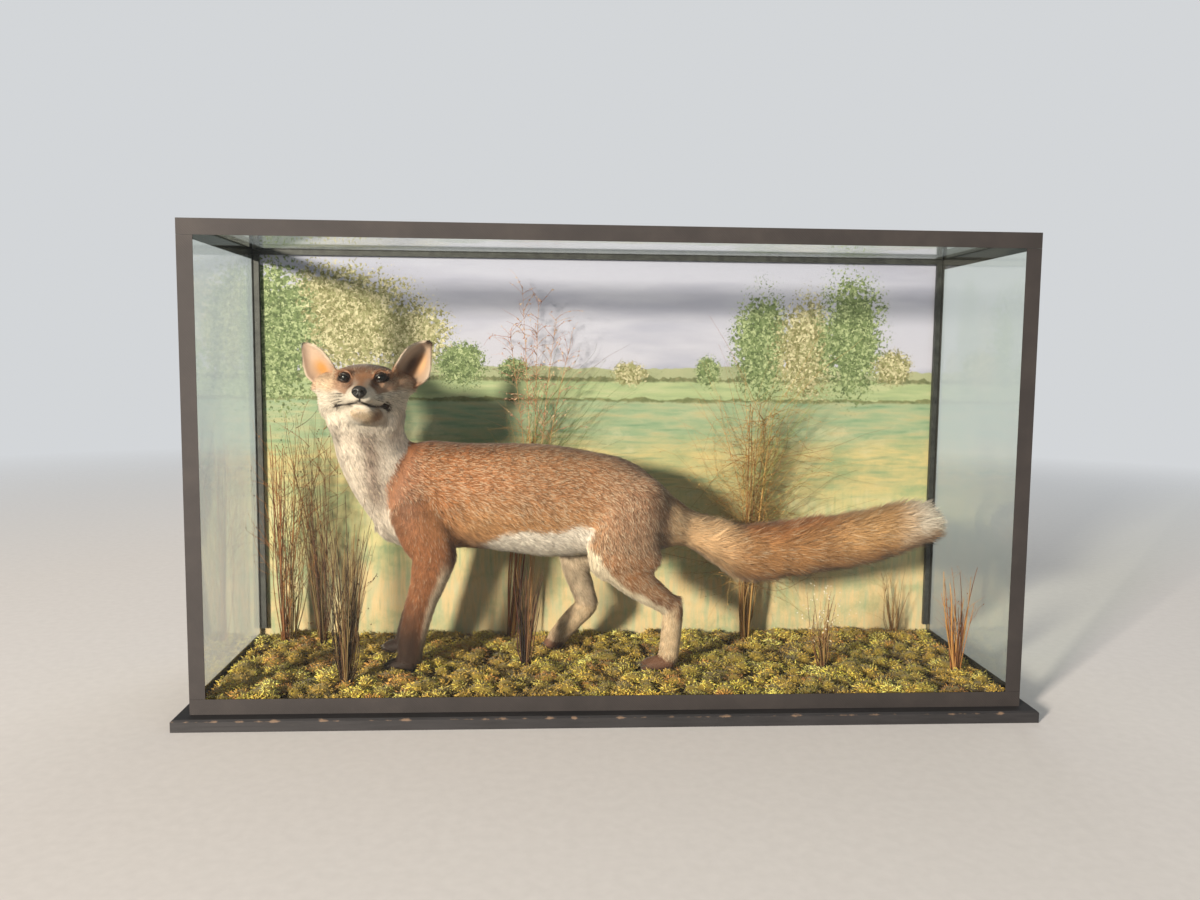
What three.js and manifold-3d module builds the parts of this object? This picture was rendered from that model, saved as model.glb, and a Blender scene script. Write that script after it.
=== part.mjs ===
// A mounted red fox in a glazed case: the fox stands on a moss-covered floor with tufts of dried
// grass, in front of a painted back board. The panes are bound with tape along every edge and the
// whole case stands on a black base board.
// Millimetres, +Z up, +X to the right of somebody who faces the case, -Y towards them.
// The origin is the middle of the base board's underside.
import * as THREE from "three";
import { mergeVertices } from "three/addons/utils/BufferGeometryUtils.js";
import Module from "manifold-3d";

const wasm = await Module();
wasm.setup();

// ---- Driving dimensions -------------------------------------------------------------------------
const GAP = 0.35; // clearance between touching pieces
const SLIVER = 0.08; // edges shorter than this are closed up after a cut
const CASE = { width: 1300, depth: 389, height: 747 }; // outside of the bound glass box
const BASE = { overhang: 22, thickness: 19, chamfer: 3 };
const PANE = 4; // glass thickness
const TAPE = { leg: 24, thickness: 1.2 }; // binding folded round each edge
const BACK_BOARD = 9;
const BATTEN = 9; // square strip in the corners of the back board
const MOSS = { margin: 3, mean: 25, swell: 4, columns: 16, rows: 5 };
const FOX_MIDDLE = 10; // the body's mid plane lies this far behind the middle of the case
const EYES = { x: -404, y: -72, z: 533, turn: 5 }; // point between the eyes, head turned in degrees
const EYE_RADIUS = 9.5;
const EYE_SPACING = 63;

const FLOOR = BASE.thickness; // the glass box and the moss start here
const ROOF = FLOOR + CASE.height;
const FUR_ROUGHNESS = 0.9;

// ---- Solids -------------------------------------------------------------------------------------
// A closed three.js geometry as a solid that can be joined and cut.
function solidFrom(geometry) {
  const bare = geometry.index ? geometry.toNonIndexed() : geometry.clone();
  bare.deleteAttribute("normal");
  bare.deleteAttribute("uv");
  const merged = mergeVertices(bare, 1e-3);
  return new wasm.Manifold(
    new wasm.Mesh({
      numProp: 3,
      vertProperties: merged.attributes.position.array,
      triVerts: new Uint32Array(merged.index.array),
    }),
  );
}

// A solid back as a three.js geometry, with flat-shaded facets.
function geometryFrom(solid) {
  const mesh = solid.getMesh();
  const corners = new Float32Array(mesh.numVert * 3);
  for (let i = 0; i < mesh.numVert; i++)
    corners.set(mesh.vertProperties.subarray(i * mesh.numProp, i * mesh.numProp + 3), i * 3);
  const geometry = new THREE.BufferGeometry();
  geometry.setAttribute("position", new THREE.BufferAttribute(corners, 3));
  geometry.setIndex(new THREE.BufferAttribute(new Uint32Array(mesh.triVerts), 1));
  geometry.computeVertexNormals();
  return geometry;
}

// An axis-aligned block between two corners.
function block(low, high) {
  const size = high.map((value, axis) => value - low[axis]);
  const middle = high.map((value, axis) => (value + low[axis]) / 2);
  return new THREE.BoxGeometry(...size).translate(...middle);
}

// A rounded limb or body: ellipses swept along a smooth line through the stations. Each station is
// [x, y, z, radius in the plane of the bend, radius sideways]. The ends close with domes. The
// ellipses stand square to the line, or square to `facing` where that is given.
function sweep(stations, options = {}, grow = 0) {
  const { sides = 16, dome = 0.6, across = [0, 1, 0], facing, squareness = 2 } = options;
  const line = new THREE.CatmullRomCurve3(
    stations.map(([x, y, z]) => new THREE.Vector3(x, y, z)),
    false,
    "centripetal",
  );
  const sizes = new THREE.CatmullRomCurve3(
    stations.map(([, , , inPlane, sideways]) => new THREE.Vector3(inPlane, sideways, 0)),
    false,
    "catmullrom",
    0.5,
  );
  const directionAt = (share) => (facing ? new THREE.Vector3(...facing) : line.getTangent(share));
  const rings = [];
  const addRing = (share, shrink, shift) => {
    const tangent = directionAt(share);
    const side = new THREE.Vector3(...across);
    side.addScaledVector(tangent, -tangent.dot(side)).normalize();
    const normal = new THREE.Vector3().crossVectors(side, tangent);
    const centre = line.getPoint(share).addScaledVector(tangent, shift);
    const size = sizes.getPoint(share);
    const ring = [];
    for (let i = 0; i < sides; i++) {
      const angle = (2 * Math.PI * i) / sides;
      const power = (value) => Math.sign(value) * Math.abs(value) ** (2 / squareness);
      ring.push(
        centre
          .clone()
          .addScaledVector(normal, shrink * (size.x + grow) * power(Math.cos(angle)))
          .addScaledVector(side, shrink * (size.y + grow) * power(Math.sin(angle))),
      );
    }
    rings.push(ring);
  };
  const domeLength = (station) => dome * Math.min(station[3], station[4]) + grow;
  const domeAngles = [60, 30].map((degrees) => THREE.MathUtils.degToRad(degrees));
  const firstDome = domeLength(stations[0]);
  const lastDome = domeLength(stations[stations.length - 1]);
  for (const angle of domeAngles) addRing(0, Math.cos(angle), -firstDome * Math.sin(angle));
  const spans = stations.length - 1;
  for (let i = 0; i <= spans; i++) addRing(i / spans, 1, 0);
  for (const angle of domeAngles.reverse()) addRing(1, Math.cos(angle), lastDome * Math.sin(angle));

  const poles = [
    line.getPoint(0).addScaledVector(directionAt(0), -firstDome),
    line.getPoint(1).addScaledVector(directionAt(1), lastDome),
  ];
  const positions = [];
  const face = (...corners) => corners.forEach((corner) => positions.push(...corner));
  for (let i = 0; i < sides; i++) {
    const next = (i + 1) % sides;
    face(poles[0], rings[0][next], rings[0][i]);
    for (let j = 0; j + 1 < rings.length; j++) {
      face(rings[j][i], rings[j + 1][next], rings[j + 1][i]);
      face(rings[j][i], rings[j][next], rings[j + 1][next]);
    }
    face(poles[1], rings.at(-1)[i], rings.at(-1)[next]);
  }
  const geometry = new THREE.BufferGeometry();
  geometry.setAttribute("position", new THREE.Float32BufferAttribute(positions, 3));
  return solidFrom(geometry);
}

// A ball squeezed to three radii.
function ball(centre, radii, grow = 0, around = 12, high = 8) {
  const geometry = new THREE.SphereGeometry(1, around, high);
  geometry.scale(...radii.map((radius) => radius + grow)).translate(...centre);
  return solidFrom(geometry);
}

// ---- The fox ------------------------------------------------------------------------------------
// The head's own directions: forward along the muzzle, left towards the fox's left, up.
const headTurn = THREE.MathUtils.degToRad(EYES.turn);
const headForward = [Math.sin(headTurn), -Math.cos(headTurn), 0];
const headLeft = [Math.cos(headTurn), Math.sin(headTurn), 0];
function onHead(forward, left, up) {
  return [
    EYES.x + forward * headForward[0] + left * headLeft[0],
    EYES.y + forward * headForward[1] + left * headLeft[1],
    EYES.z + up,
  ];
}

// Stations along the head, from the back of the skull to the lip: how far forward of the eyes, the
// height of the top and of the underside there, and half the width.
const SKULL = [
  [-86, 4, -34, 26],
  [-74, 18, -56, 50],
  [-56, 24, -68, 67],
  [-36, 23, -72, 74],
  [-18, 20, -67, 67],
  [-3, 14, -60, 52],
  [11, 4, -52, 38],
  [26, -4, -46, 30],
  [42, -9, -42, 25],
  [56, -12, -40, 20],
  [65, -14, -37, 15],
];
const JAW = [
  [-30, -44, -82, 46],
  [-8, -44, -78, 36],
  [14, -44, -72, 27],
  [32, -42, -66, 21],
  [46, -42, -58, 14],
];
const headStations = (profile) =>
  profile.map(([forward, top, bottom, halfWidth]) => [
    ...onHead(forward, 0, (top + bottom) / 2),
    (top - bottom) / 2,
    halfWidth,
  ]);

const skull = (grow) =>
  sweep(headStations(SKULL), { sides: 18, dome: 0.5, across: headLeft, facing: headForward }, grow);
const jaw = (grow) =>
  sweep(headStations(JAW), { sides: 12, dome: 0.7, across: headLeft, facing: headForward }, grow);
const nose = (grow) => ball(onHead(67, 0, -21), [12, 9, 9.5], grow);
const eye = (side) => (grow) =>
  ball(onHead(-3, (side * EYE_SPACING) / 2, 0), [EYE_RADIUS, EYE_RADIUS, EYE_RADIUS], grow, 10, 6);

// An ear: a cupped leaf from its root to its rounded tip, open towards the front.
const EAR = { thickness: 4.5, cup: 0.45, taper: 2.6, rows: 7, columns: 6 };
function ear({ root, tip, halfWidth, tipWidth, lean }) {
  const start = new THREE.Vector3(...onHead(...root));
  const axis = new THREE.Vector3(...onHead(...tip)).sub(start);
  const length = axis.length();
  axis.normalize();
  const facing = new THREE.Vector3(...headForward)
    .addScaledVector(new THREE.Vector3(...headLeft), lean)
    .normalize();
  facing.addScaledVector(axis, -facing.dot(axis)).normalize();
  const across = new THREE.Vector3().crossVectors(axis, facing);
  const widthAt = (share) => Math.max(halfWidth * (1 - share ** EAR.taper), tipWidth);
  const at = (row, column, layer) => {
    const share = row / EAR.rows;
    const offset = (2 * column) / EAR.columns - 1;
    const width = widthAt(share);
    const dish = EAR.cup * width * offset ** 2 + layer * EAR.thickness * (1 - 0.5 * offset ** 2);
    return start
      .clone()
      .addScaledVector(axis, share * length)
      .addScaledVector(across, width * offset)
      .addScaledVector(facing, dish);
  };
  const positions = [];
  const quad = (a, b, c, d) => positions.push(...a, ...b, ...c, ...a, ...c, ...d);
  for (let row = 0; row < EAR.rows; row++)
    for (let column = 0; column < EAR.columns; column++) {
      const corners = [
        [row, column],
        [row, column + 1],
        [row + 1, column + 1],
        [row + 1, column],
      ];
      quad(...corners.map(([r, c]) => at(r, c, 1)));
      quad(...corners.reverse().map(([r, c]) => at(r, c, 0)));
    }
  for (let row = 0; row < EAR.rows; row++) {
    quad(at(row, 0, 0), at(row, 0, 1), at(row + 1, 0, 1), at(row + 1, 0, 0));
    const far = EAR.columns;
    quad(at(row, far, 1), at(row, far, 0), at(row + 1, far, 0), at(row + 1, far, 1));
  }
  for (let column = 0; column < EAR.columns; column++) {
    const last = EAR.rows;
    quad(at(0, column, 0), at(0, column + 1, 0), at(0, column + 1, 1), at(0, column, 1));
    quad(at(last, column, 1), at(last, column + 1, 1), at(last, column + 1, 0), at(last, column, 0));
  }
  const geometry = new THREE.BufferGeometry();
  geometry.setAttribute("position", new THREE.Float32BufferAttribute(positions, 3));
  return solidFrom(geometry);
}
const earRight = () =>
  ear({ root: [-44, -54, -3], tip: [-58, -98, 57], halfWidth: 25, tipWidth: 4, lean: -0.35 });
const earLeft = () =>
  ear({ root: [-44, 60, -5], tip: [-60, 101, 60], halfWidth: 34, tipWidth: 8, lean: 0.4 });

// Trunk from the breast to the root of the tail: x, height of the back, of the belly, half width.
const TRUNK = [
  [-402, 296, 272, 20],
  [-390, 332, 257, 38],
  [-368, 392, 246, 56],
  [-330, 428, 233, 68],
  [-262, 424, 238, 71],
  [-205, 423, 235, 76],
  [-150, 424, 227, 78],
  [-96, 421, 222, 75],
  [-44, 411, 224, 70],
  [6, 399, 226, 69],
  [50, 380, 230, 66],
  [88, 351, 232, 56],
  [113, 322, 238, 42],
];
const trunk = (grow) =>
  sweep(
    TRUNK.map(([x, back, belly, halfWidth]) => [
      x,
      FOX_MIDDLE,
      (back + belly) / 2,
      (back - belly) / 2,
      halfWidth,
    ]),
    { sides: 18, dome: 0.5, facing: [1, 0, 0], squareness: 2.15 },
    grow,
  );

// Neck from inside the shoulders up to the skull, turning towards the front of the case.
const NECK = [
  [-332, FOX_MIDDLE, 312, 70, 58],
  [-360, FOX_MIDDLE, 338, 68, 60],
  [-383, 6, 374, 69, 62],
  [-401, 0, 414, 68, 63],
  [-411, -8, 452, 66, 63],
  [-411, -16, 488, 74, 60],
];
const neck = (grow) => sweep(NECK, { sides: 14, dome: 0.4 }, grow);

// The tail along its middle line: x, top, underside, half width.
const TAIL = [
  [96, 322, 250, 30],
  [130, 308, 236, 33],
  [176, 296, 205, 40],
  [222, 285, 182, 46],
  [266, 284, 177, 48],
  [318, 290, 184, 48],
  [376, 296, 191, 48],
  [428, 304, 200, 47],
  [478, 314, 211, 46],
  [516, 322, 224, 42],
  [546, 320, 237, 34],
  [568, 306, 249, 22],
];
const TAIL_CUTS = [196, 470]; // where the root, the brush and the tip part
const tail = (grow) =>
  sweep(
    TAIL.map(([x, top, under, halfWidth]) => [
      x,
      FOX_MIDDLE,
      (top + under) / 2,
      (top - under) / 2,
      halfWidth,
    ]),
    { sides: 16, dome: 0.8, facing: [1, 0, 0] },
    grow,
  );

// Legs as stations x, y, z, fore-and-aft radius, sideways radius. Left is the side that faces the
// front of the case. The left hind leg is stretched back and the right one is under the belly.
const LEGS = {
  left: {
    foreleg: [
      [-328, -34, 322, 50, 34],
      [-312, -38, 280, 46, 34],
      [-295, -42, 240, 36, 29],
      [-304, -44, 204, 28, 25],
      [-318, -45, 168, 22, 20],
      [-329, -45, 130, 20, 17],
      [-335, -45, 92, 18.5, 15.5],
      [-338, -44, 62, 18.5, 16],
    ],
    thigh: [
      [52, -32, 322, 60, 34],
      [26, -40, 280, 66, 36],
      [18, -46, 240, 60, 32],
    ],
    shank: [
      [20, -48, 226, 46, 28],
      [46, -51, 194, 33, 24],
      [76, -53, 170, 25, 19],
      [101, -54, 153, 20, 16],
    ],
    hindfoot: [
      [108, -54, 150, 19, 15],
      [107, -54, 122, 19.5, 15],
      [105, -54, 92, 19, 15],
      [101, -54, 64, 18, 16],
    ],
    forepaw: [
      [-330, -44, 52, 14, 17],
      [-345, -43, 51, 15, 19],
      [-362, -42, 48, 12, 18],
      [-373, -42, 46, 8, 13],
    ],
    hindpaw: [
      [106, -54, 53, 13, 15],
      [88, -55, 52, 15, 18],
      [70, -55, 49, 12, 18],
      [58, -55, 46, 8, 13],
    ],
  },
  right: {
    foreleg: [
      [-330, 52, 322, 48, 34],
      [-314, 57, 280, 44, 34],
      [-300, 61, 238, 34, 28],
      [-308, 64, 200, 28, 24],
      [-323, 65, 160, 24, 20],
      [-338, 65, 122, 22, 17],
      [-351, 65, 88, 19.5, 15.5],
      [-361, 65, 62, 18, 16],
    ],
    thigh: [
      [34, 52, 318, 58, 34],
      [-2, 60, 276, 60, 35],
      [-34, 66, 236, 48, 30],
    ],
    shank: [
      [-48, 68, 214, 38, 27],
      [-50, 70, 186, 27, 22],
      [-41, 71, 156, 20, 18],
      [-33, 72, 130, 19, 16],
    ],
    hindfoot: [
      [-32, 72, 124, 19, 15],
      [-50, 72, 103, 19, 15],
      [-72, 72, 80, 17.5, 15],
      [-90, 72, 60, 16, 15],
    ],
    forepaw: [
      [-352, 65, 52, 14, 17],
      [-367, 66, 51, 15, 19],
      [-384, 66, 48, 12, 18],
      [-396, 66, 46, 8, 13],
    ],
    hindpaw: [
      [-80, 72, 54, 12, 15],
      [-90, 72, 53, 14, 17],
      [-99, 72, 50, 13, 17],
      [-106, 72, 47, 9, 13],
    ],
  },
};
const LEG_SIDES = { foreleg: 12, thigh: 14, shank: 12, hindfoot: 10, forepaw: 10, hindpaw: 10 };
const legPart = (side, part) => (grow) =>
  sweep(LEGS[side][part], { sides: LEG_SIDES[part], dome: 0.55 }, grow);

const cutBy = (solid, ...neighbours) =>
  neighbours.reduce((rest, neighbour) => rest.subtract(neighbour(GAP)), solid);

// The largest piece of a solid, without slivers that a cut left beside it or in its surface.
const mainPiece = (solid) =>
  solid
    .decompose()
    .reduce((best, piece) => (piece.volume() > best.volume() ? piece : best))
    .simplify(SLIVER);

function foxSolids() {
  const eyes = { left: eye(1), right: eye(-1) };
  const tailOutside = cutBy(tail(0), trunk);
  const solids = {
    fox_trunk: trunk(0),
    fox_neck: cutBy(neck(0), trunk, skull, jaw),
    fox_head: cutBy(skull(0), nose, eyes.left, eyes.right),
    fox_jaw: cutBy(jaw(0), skull),
    fox_nose: nose(0),
    fox_eye_left: eyes.left(0),
    fox_eye_right: eyes.right(0),
    fox_ear_left: cutBy(earLeft(), skull),
    fox_ear_right: cutBy(earRight(), skull),
    fox_tail_root: tailOutside.trimByPlane([-1, 0, 0], -TAIL_CUTS[0] + GAP / 2),
    fox_tail_brush: tailOutside
      .trimByPlane([1, 0, 0], TAIL_CUTS[0] + GAP / 2)
      .trimByPlane([-1, 0, 0], -TAIL_CUTS[1] + GAP / 2),
    fox_tail_tip: tailOutside.trimByPlane([1, 0, 0], TAIL_CUTS[1] + GAP / 2),
  };
  for (const side of ["left", "right"]) {
    const part = (name) => legPart(side, name);
    solids[`fox_foreleg_${side}`] = cutBy(part("foreleg")(0), trunk, neck);
    solids[`fox_forepaw_${side}`] = cutBy(part("forepaw")(0), part("foreleg"));
    solids[`fox_thigh_${side}`] = cutBy(part("thigh")(0), trunk, tail);
    solids[`fox_shank_${side}`] = cutBy(part("shank")(0), part("thigh"), trunk);
    solids[`fox_hindfoot_${side}`] = cutBy(part("hindfoot")(0), part("shank"));
    solids[`fox_hindpaw_${side}`] = cutBy(part("hindpaw")(0), part("hindfoot"));
  }
  for (const name of Object.keys(solids)) solids[name] = mainPiece(solids[name]);
  return solids;
}

// ---- The case -----------------------------------------------------------------------------------
const halfWidth = CASE.width / 2;
const halfDepth = CASE.depth / 2;
const glassX = halfWidth - TAPE.thickness; // outer faces of the end panes
const glassY = halfDepth - TAPE.thickness; // outer faces of the front pane and the back board
const glassTop = ROOF - TAPE.thickness; // upper face of the lid pane
const insideX = glassX - PANE;
const insideFront = -glassY + PANE;
const insideBack = glassY - BACK_BOARD;
const underLid = glassTop - PANE;

// The base board, chamfered round its upper edge.
function baseBoard() {
  const size = [CASE.width + 2 * BASE.overhang, CASE.depth + 2 * BASE.overhang];
  const geometry = new THREE.BoxGeometry(...size, BASE.thickness, 1, 1, 2);
  geometry.translate(0, 0, BASE.thickness / 2);
  const position = geometry.getAttribute("position");
  for (let i = 0; i < position.count; i++) {
    const z = position.getZ(i);
    if (z > BASE.thickness - 1e-6) {
      const inset = (value) => value - Math.sign(value) * BASE.chamfer;
      position.setXY(i, inset(position.getX(i)), inset(position.getY(i)));
    } else if (z > 1e-6) position.setZ(i, BASE.thickness - BASE.chamfer);
  }
  return solidFrom(geometry);
}

function panes() {
  const low = FLOOR + GAP;
  const endPane = (side) => {
    const [inner, outer] = [side * insideX, side * glassX];
    return block(
      [Math.min(inner, outer), insideFront + GAP, low],
      [Math.max(inner, outer), insideBack - GAP, underLid - GAP],
    );
  };
  const shapes = {
    case_glass_front: block([-glassX, -glassY, low], [glassX, insideFront, underLid - GAP]),
    case_glass_left: endPane(-1),
    case_glass_right: endPane(1),
    case_glass_top: block([-glassX, -glassY, underLid], [glassX, glassY, glassTop]),
    case_back_board: block([-glassX, insideBack, low], [glassX, glassY, underLid - GAP]),
  };
  return Object.fromEntries(Object.entries(shapes).map(([name, box]) => [name, solidFrom(box)]));
}

// A strip of binding folded round one edge of the glass box. `along` is the axis it runs along, and
// `signs` says on which side of the other two axes it lies. The lowest strips don't fold under.
function bindingStrip(along, signs, from, to, grow = 0) {
  const limits = [
    [-halfWidth, halfWidth],
    [-halfDepth, halfDepth],
    [FLOOR + GAP, ROOF],
  ];
  const others = [0, 1, 2].filter((axis) => axis !== along);
  const bandOn = (flatAxis, wideAxis) => {
    const low = [0, 0, 0];
    const high = [0, 0, 0];
    low[along] = from - grow;
    high[along] = to + grow;
    for (const [axis, size] of [
      [flatAxis, TAPE.thickness - GAP],
      [wideAxis, TAPE.leg],
    ]) {
      const positive = signs[others.indexOf(axis)] > 0;
      const outer = limits[axis][positive ? 1 : 0];
      const inner = outer + (positive ? -size : size);
      low[axis] = Math.min(inner, outer) - grow;
      high[axis] = Math.max(inner, outer) + grow;
    }
    return solidFrom(block(low, high));
  };
  const upright = bandOn(others[0], others[1]);
  const foldsUnder = others[1] === 2 && signs[1] < 0;
  return foldsUnder ? upright : upright.add(bandOn(others[1], others[0]));
}

// The twelve edges, in the order they were bound: each strip stops short of the earlier ones.
function bindings() {
  const strips = {};
  const done = [];
  const bind = (name, along, signs, from, to) => {
    const strip = done.reduce(
      (rest, earlier) => rest.subtract(earlier),
      bindingStrip(along, signs, from, to),
    );
    strips[name] = mainPiece(strip);
    done.push(bindingStrip(along, signs, from, to, GAP));
  };
  for (const [level, levelSign] of [
    ["top", 1],
    ["bottom", -1],
  ]) {
    bind(`case_binding_${level}_front`, 0, [-1, levelSign], -halfWidth, halfWidth);
    bind(`case_binding_${level}_back`, 0, [1, levelSign], -halfWidth, halfWidth);
    bind(`case_binding_${level}_left`, 1, [-1, levelSign], -halfDepth, halfDepth);
    bind(`case_binding_${level}_right`, 1, [1, levelSign], -halfDepth, halfDepth);
  }
  for (const [end, endSign] of [
    ["left", -1],
    ["right", 1],
  ])
    for (const [face, faceSign] of [
      ["front", -1],
      ["back", 1],
    ])
      bind(`case_binding_${face}_${end}`, 2, [endSign, faceSign], FLOOR + GAP, ROOF);
  return strips;
}

// Battens that hold the back board: one up each corner and one under the lid.
function battens() {
  const back = insideBack - GAP;
  const front = back - BATTEN;
  const upper = underLid - GAP;
  const mossTop = FLOOR + MOSS.mean + 2 * MOSS.swell;
  const corner = (side) => {
    const outer = side * (insideX - GAP);
    const inner = side * (insideX - GAP - BATTEN);
    return block(
      [Math.min(inner, outer), front, mossTop],
      [Math.max(inner, outer), back, upper - BATTEN - GAP],
    );
  };
  const shapes = {
    case_batten_left: corner(-1),
    case_batten_right: corner(1),
    case_batten_top: block([-insideX + GAP, front, upper - BATTEN], [insideX - GAP, back, upper]),
  };
  return Object.fromEntries(Object.entries(shapes).map(([name, box]) => [name, solidFrom(box)]));
}

// Height of the moss above the base board, in slow swells.
function mossHeight(x, y) {
  const waves = [
    [0.011, 0.017, 0.4],
    [0.023, -0.031, 1.9],
    [-0.037, 0.045, 4.1],
  ];
  const sum = waves.reduce((total, [kx, ky, phase]) => total + Math.sin(kx * x + ky * y + phase), 0);
  return MOSS.mean + (MOSS.swell * sum) / waves.length;
}

// The moss floor, hollowed where the paws and the grass roots press into it.
function mossFloor(pressed) {
  const size = [2 * (insideX - MOSS.margin), insideBack - insideFront - 2 * MOSS.margin];
  const geometry = new THREE.BoxGeometry(...size, MOSS.mean, MOSS.columns, MOSS.rows, 1);
  geometry.translate(0, (insideBack + insideFront) / 2, MOSS.mean / 2);
  const position = geometry.getAttribute("position");
  for (let i = 0; i < position.count; i++) {
    const isTop = position.getZ(i) > MOSS.mean / 2;
    const height = isTop ? mossHeight(position.getX(i), position.getY(i)) : GAP;
    position.setZ(i, FLOOR + height);
  }
  return mainPiece(pressed.reduce((rest, solid) => rest.subtract(solid), solidFrom(geometry)));
}

// ---- Dried grass --------------------------------------------------------------------------------
// Each tuft: where its roots are, the height of its tips, the radius of its roots and of its spread,
// and how far the tips lean to the right.
const GRASS = [
  { x: -429, y: -118, height: 250, root: 9, spread: 26, lean: -18 },
  { x: -588, y: 128, height: 330, root: 10, spread: 24, lean: 12 },
  { x: -141, y: -22, height: 168, root: 9, spread: 20, lean: 6 },
  { x: -174, y: 155, height: 560, root: 9, spread: 24, lean: 40 },
  { x: 272, y: 132, height: 440, root: 9, spread: 34, lean: 30 },
  { x: 370, y: -52, height: 128, root: 8, spread: 24, lean: -4 },
  { x: 566, y: 148, height: 112, root: 7, spread: 20, lean: 4 },
  { x: 592, y: -82, height: 176, root: 10, spread: 26, lean: 2 },
];
const GRASS_ROOT_DEPTH = 12; // how far the roots reach below the moss surface
function grassTuft(tuft, grow = 0) {
  const foot = FLOOR + MOSS.mean - GRASS_ROOT_DEPTH;
  const tall = tuft.height + GRASS_ROOT_DEPTH;
  const stations = [0, 0.25, 0.6, 1].map((share) => {
    const radius = THREE.MathUtils.lerp(tuft.root, tuft.spread, share ** 0.8);
    return [tuft.x + tuft.lean * share ** 1.5, tuft.y, foot + tall * share, radius, radius * 0.8];
  });
  return sweep(stations, { sides: 6, dome: 0.3 }, grow);
}

// ---- Materials and the finished group -----------------------------------------------------------
const finish = (color, roughness, extra = {}) =>
  new THREE.MeshStandardMaterial({ color, roughness, metalness: 0, flatShading: true, ...extra });
const MATERIALS = {
  coat: finish("#a8683a", FUR_ROUGHNESS),
  paleCoat: finish("#c9b39c", FUR_ROUGHNESS),
  darkCoat: finish("#5a3522", FUR_ROUGHNESS),
  nose: finish("#17130f", 0.45),
  eye: finish("#1a0f08", 0.08),
  glass: finish("#dfe8e4", 0.03, { transparent: true, opacity: 0.2 }),
  binding: finish("#4d4742", 0.85),
  baseBoard: finish("#2c2d2f", 0.6),
  batten: finish("#141414", 0.6),
  backBoard: finish("#b5bf8e", 0.8),
  moss: finish("#8b8136", 1),
  driedGrass: finish("#9a7444", 0.9),
};
function materialFor(name) {
  if (name.startsWith("case_glass")) return MATERIALS.glass;
  if (name.startsWith("case_binding")) return MATERIALS.binding;
  if (name.startsWith("case_batten")) return MATERIALS.batten;
  if (name === "case_back_board") return MATERIALS.backBoard;
  if (name === "case_base_board") return MATERIALS.baseBoard;
  if (name === "moss_floor") return MATERIALS.moss;
  if (name.startsWith("grass_tuft")) return MATERIALS.driedGrass;
  if (name === "fox_nose") return MATERIALS.nose;
  if (name.startsWith("fox_eye")) return MATERIALS.eye;
  if (/neck|jaw|ear|tail_tip/.test(name)) return MATERIALS.paleCoat;
  if (/paw/.test(name)) return MATERIALS.darkCoat;
  return MATERIALS.coat;
}

function mountedFox() {
  const pressed = [];
  for (const side of ["left", "right"])
    for (const part of ["forepaw", "hindpaw"]) pressed.push(legPart(side, part)(GAP));
  GRASS.forEach((tuft) => pressed.push(grassTuft(tuft, GAP)));
  const solids = {
    case_base_board: baseBoard(),
    ...panes(),
    ...battens(),
    ...bindings(),
    moss_floor: mossFloor(pressed),
    ...foxSolids(),
  };
  GRASS.forEach((tuft, index) => {
    solids[`grass_tuft_${index + 1}`] = grassTuft(tuft);
  });
  const group = new THREE.Group();
  for (const [name, solid] of Object.entries(solids)) {
    const mesh = new THREE.Mesh(geometryFrom(solid), materialFor(name));
    mesh.name = name;
    group.add(mesh);
  }
  return group;
}

export default mountedFox();
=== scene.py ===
import math

import bpy
import numpy as np
from mathutils import Matrix, Vector
from mathutils.bvhtree import BVHTree


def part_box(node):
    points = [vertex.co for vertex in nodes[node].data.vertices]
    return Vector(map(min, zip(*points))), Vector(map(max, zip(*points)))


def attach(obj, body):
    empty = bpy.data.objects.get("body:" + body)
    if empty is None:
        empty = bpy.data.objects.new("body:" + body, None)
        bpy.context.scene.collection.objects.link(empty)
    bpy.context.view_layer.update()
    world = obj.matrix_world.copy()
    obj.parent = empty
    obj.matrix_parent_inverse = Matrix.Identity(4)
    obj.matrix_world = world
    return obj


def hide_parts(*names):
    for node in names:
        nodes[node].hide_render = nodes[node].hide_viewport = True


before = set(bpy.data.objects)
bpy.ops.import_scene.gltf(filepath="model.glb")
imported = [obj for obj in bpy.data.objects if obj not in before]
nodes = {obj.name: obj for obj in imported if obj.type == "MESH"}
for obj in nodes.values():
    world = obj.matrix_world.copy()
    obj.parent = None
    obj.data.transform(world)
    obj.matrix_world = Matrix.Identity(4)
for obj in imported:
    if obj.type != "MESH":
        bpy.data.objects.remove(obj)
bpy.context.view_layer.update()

# ---- Room ----
# A plain pale floor, a key light from the front left and weaker light from all round, so that the
# fox throws a soft shadow to the right on the painted back board.
scene = bpy.context.scene
scene.view_settings.view_transform = "Standard"
bpy.ops.object.select_all(action="DESELECT")

SENSOR_WIDTH = 36
FOCAL_LENGTH = 984.1 * SENSOR_WIDTH / 1200
CAMERA_PLACE = (-0.1122, -1.6855, 0.5677)
CAMERA_TURN, CAMERA_DIP, CAMERA_ROLL = -0.0574, 0.0929, 0.0098
camera_data = bpy.data.cameras.new("camera")
camera_data.sensor_width = SENSOR_WIDTH
camera_data.lens = FOCAL_LENGTH
camera = bpy.data.objects.new("camera", camera_data)
scene.collection.objects.link(camera)
facing = Matrix.Rotation(CAMERA_TURN, 4, "Z") @ Matrix.Rotation(math.pi / 2 - CAMERA_DIP, 4, "X")
rolled = facing @ Matrix.Rotation(CAMERA_ROLL, 4, "Z")
camera.matrix_world = Matrix.Translation(CAMERA_PLACE) @ rolled
scene.camera = camera


def linear(hex_colour):
    """An sRGB hex colour as linear red, green and blue."""
    parts = [int(hex_colour[i : i + 2], 16) / 255 for i in (1, 3, 5)]
    return [p / 12.92 if p <= 0.04045 else ((p + 0.055) / 1.055) ** 2.4 for p in parts]


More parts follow.
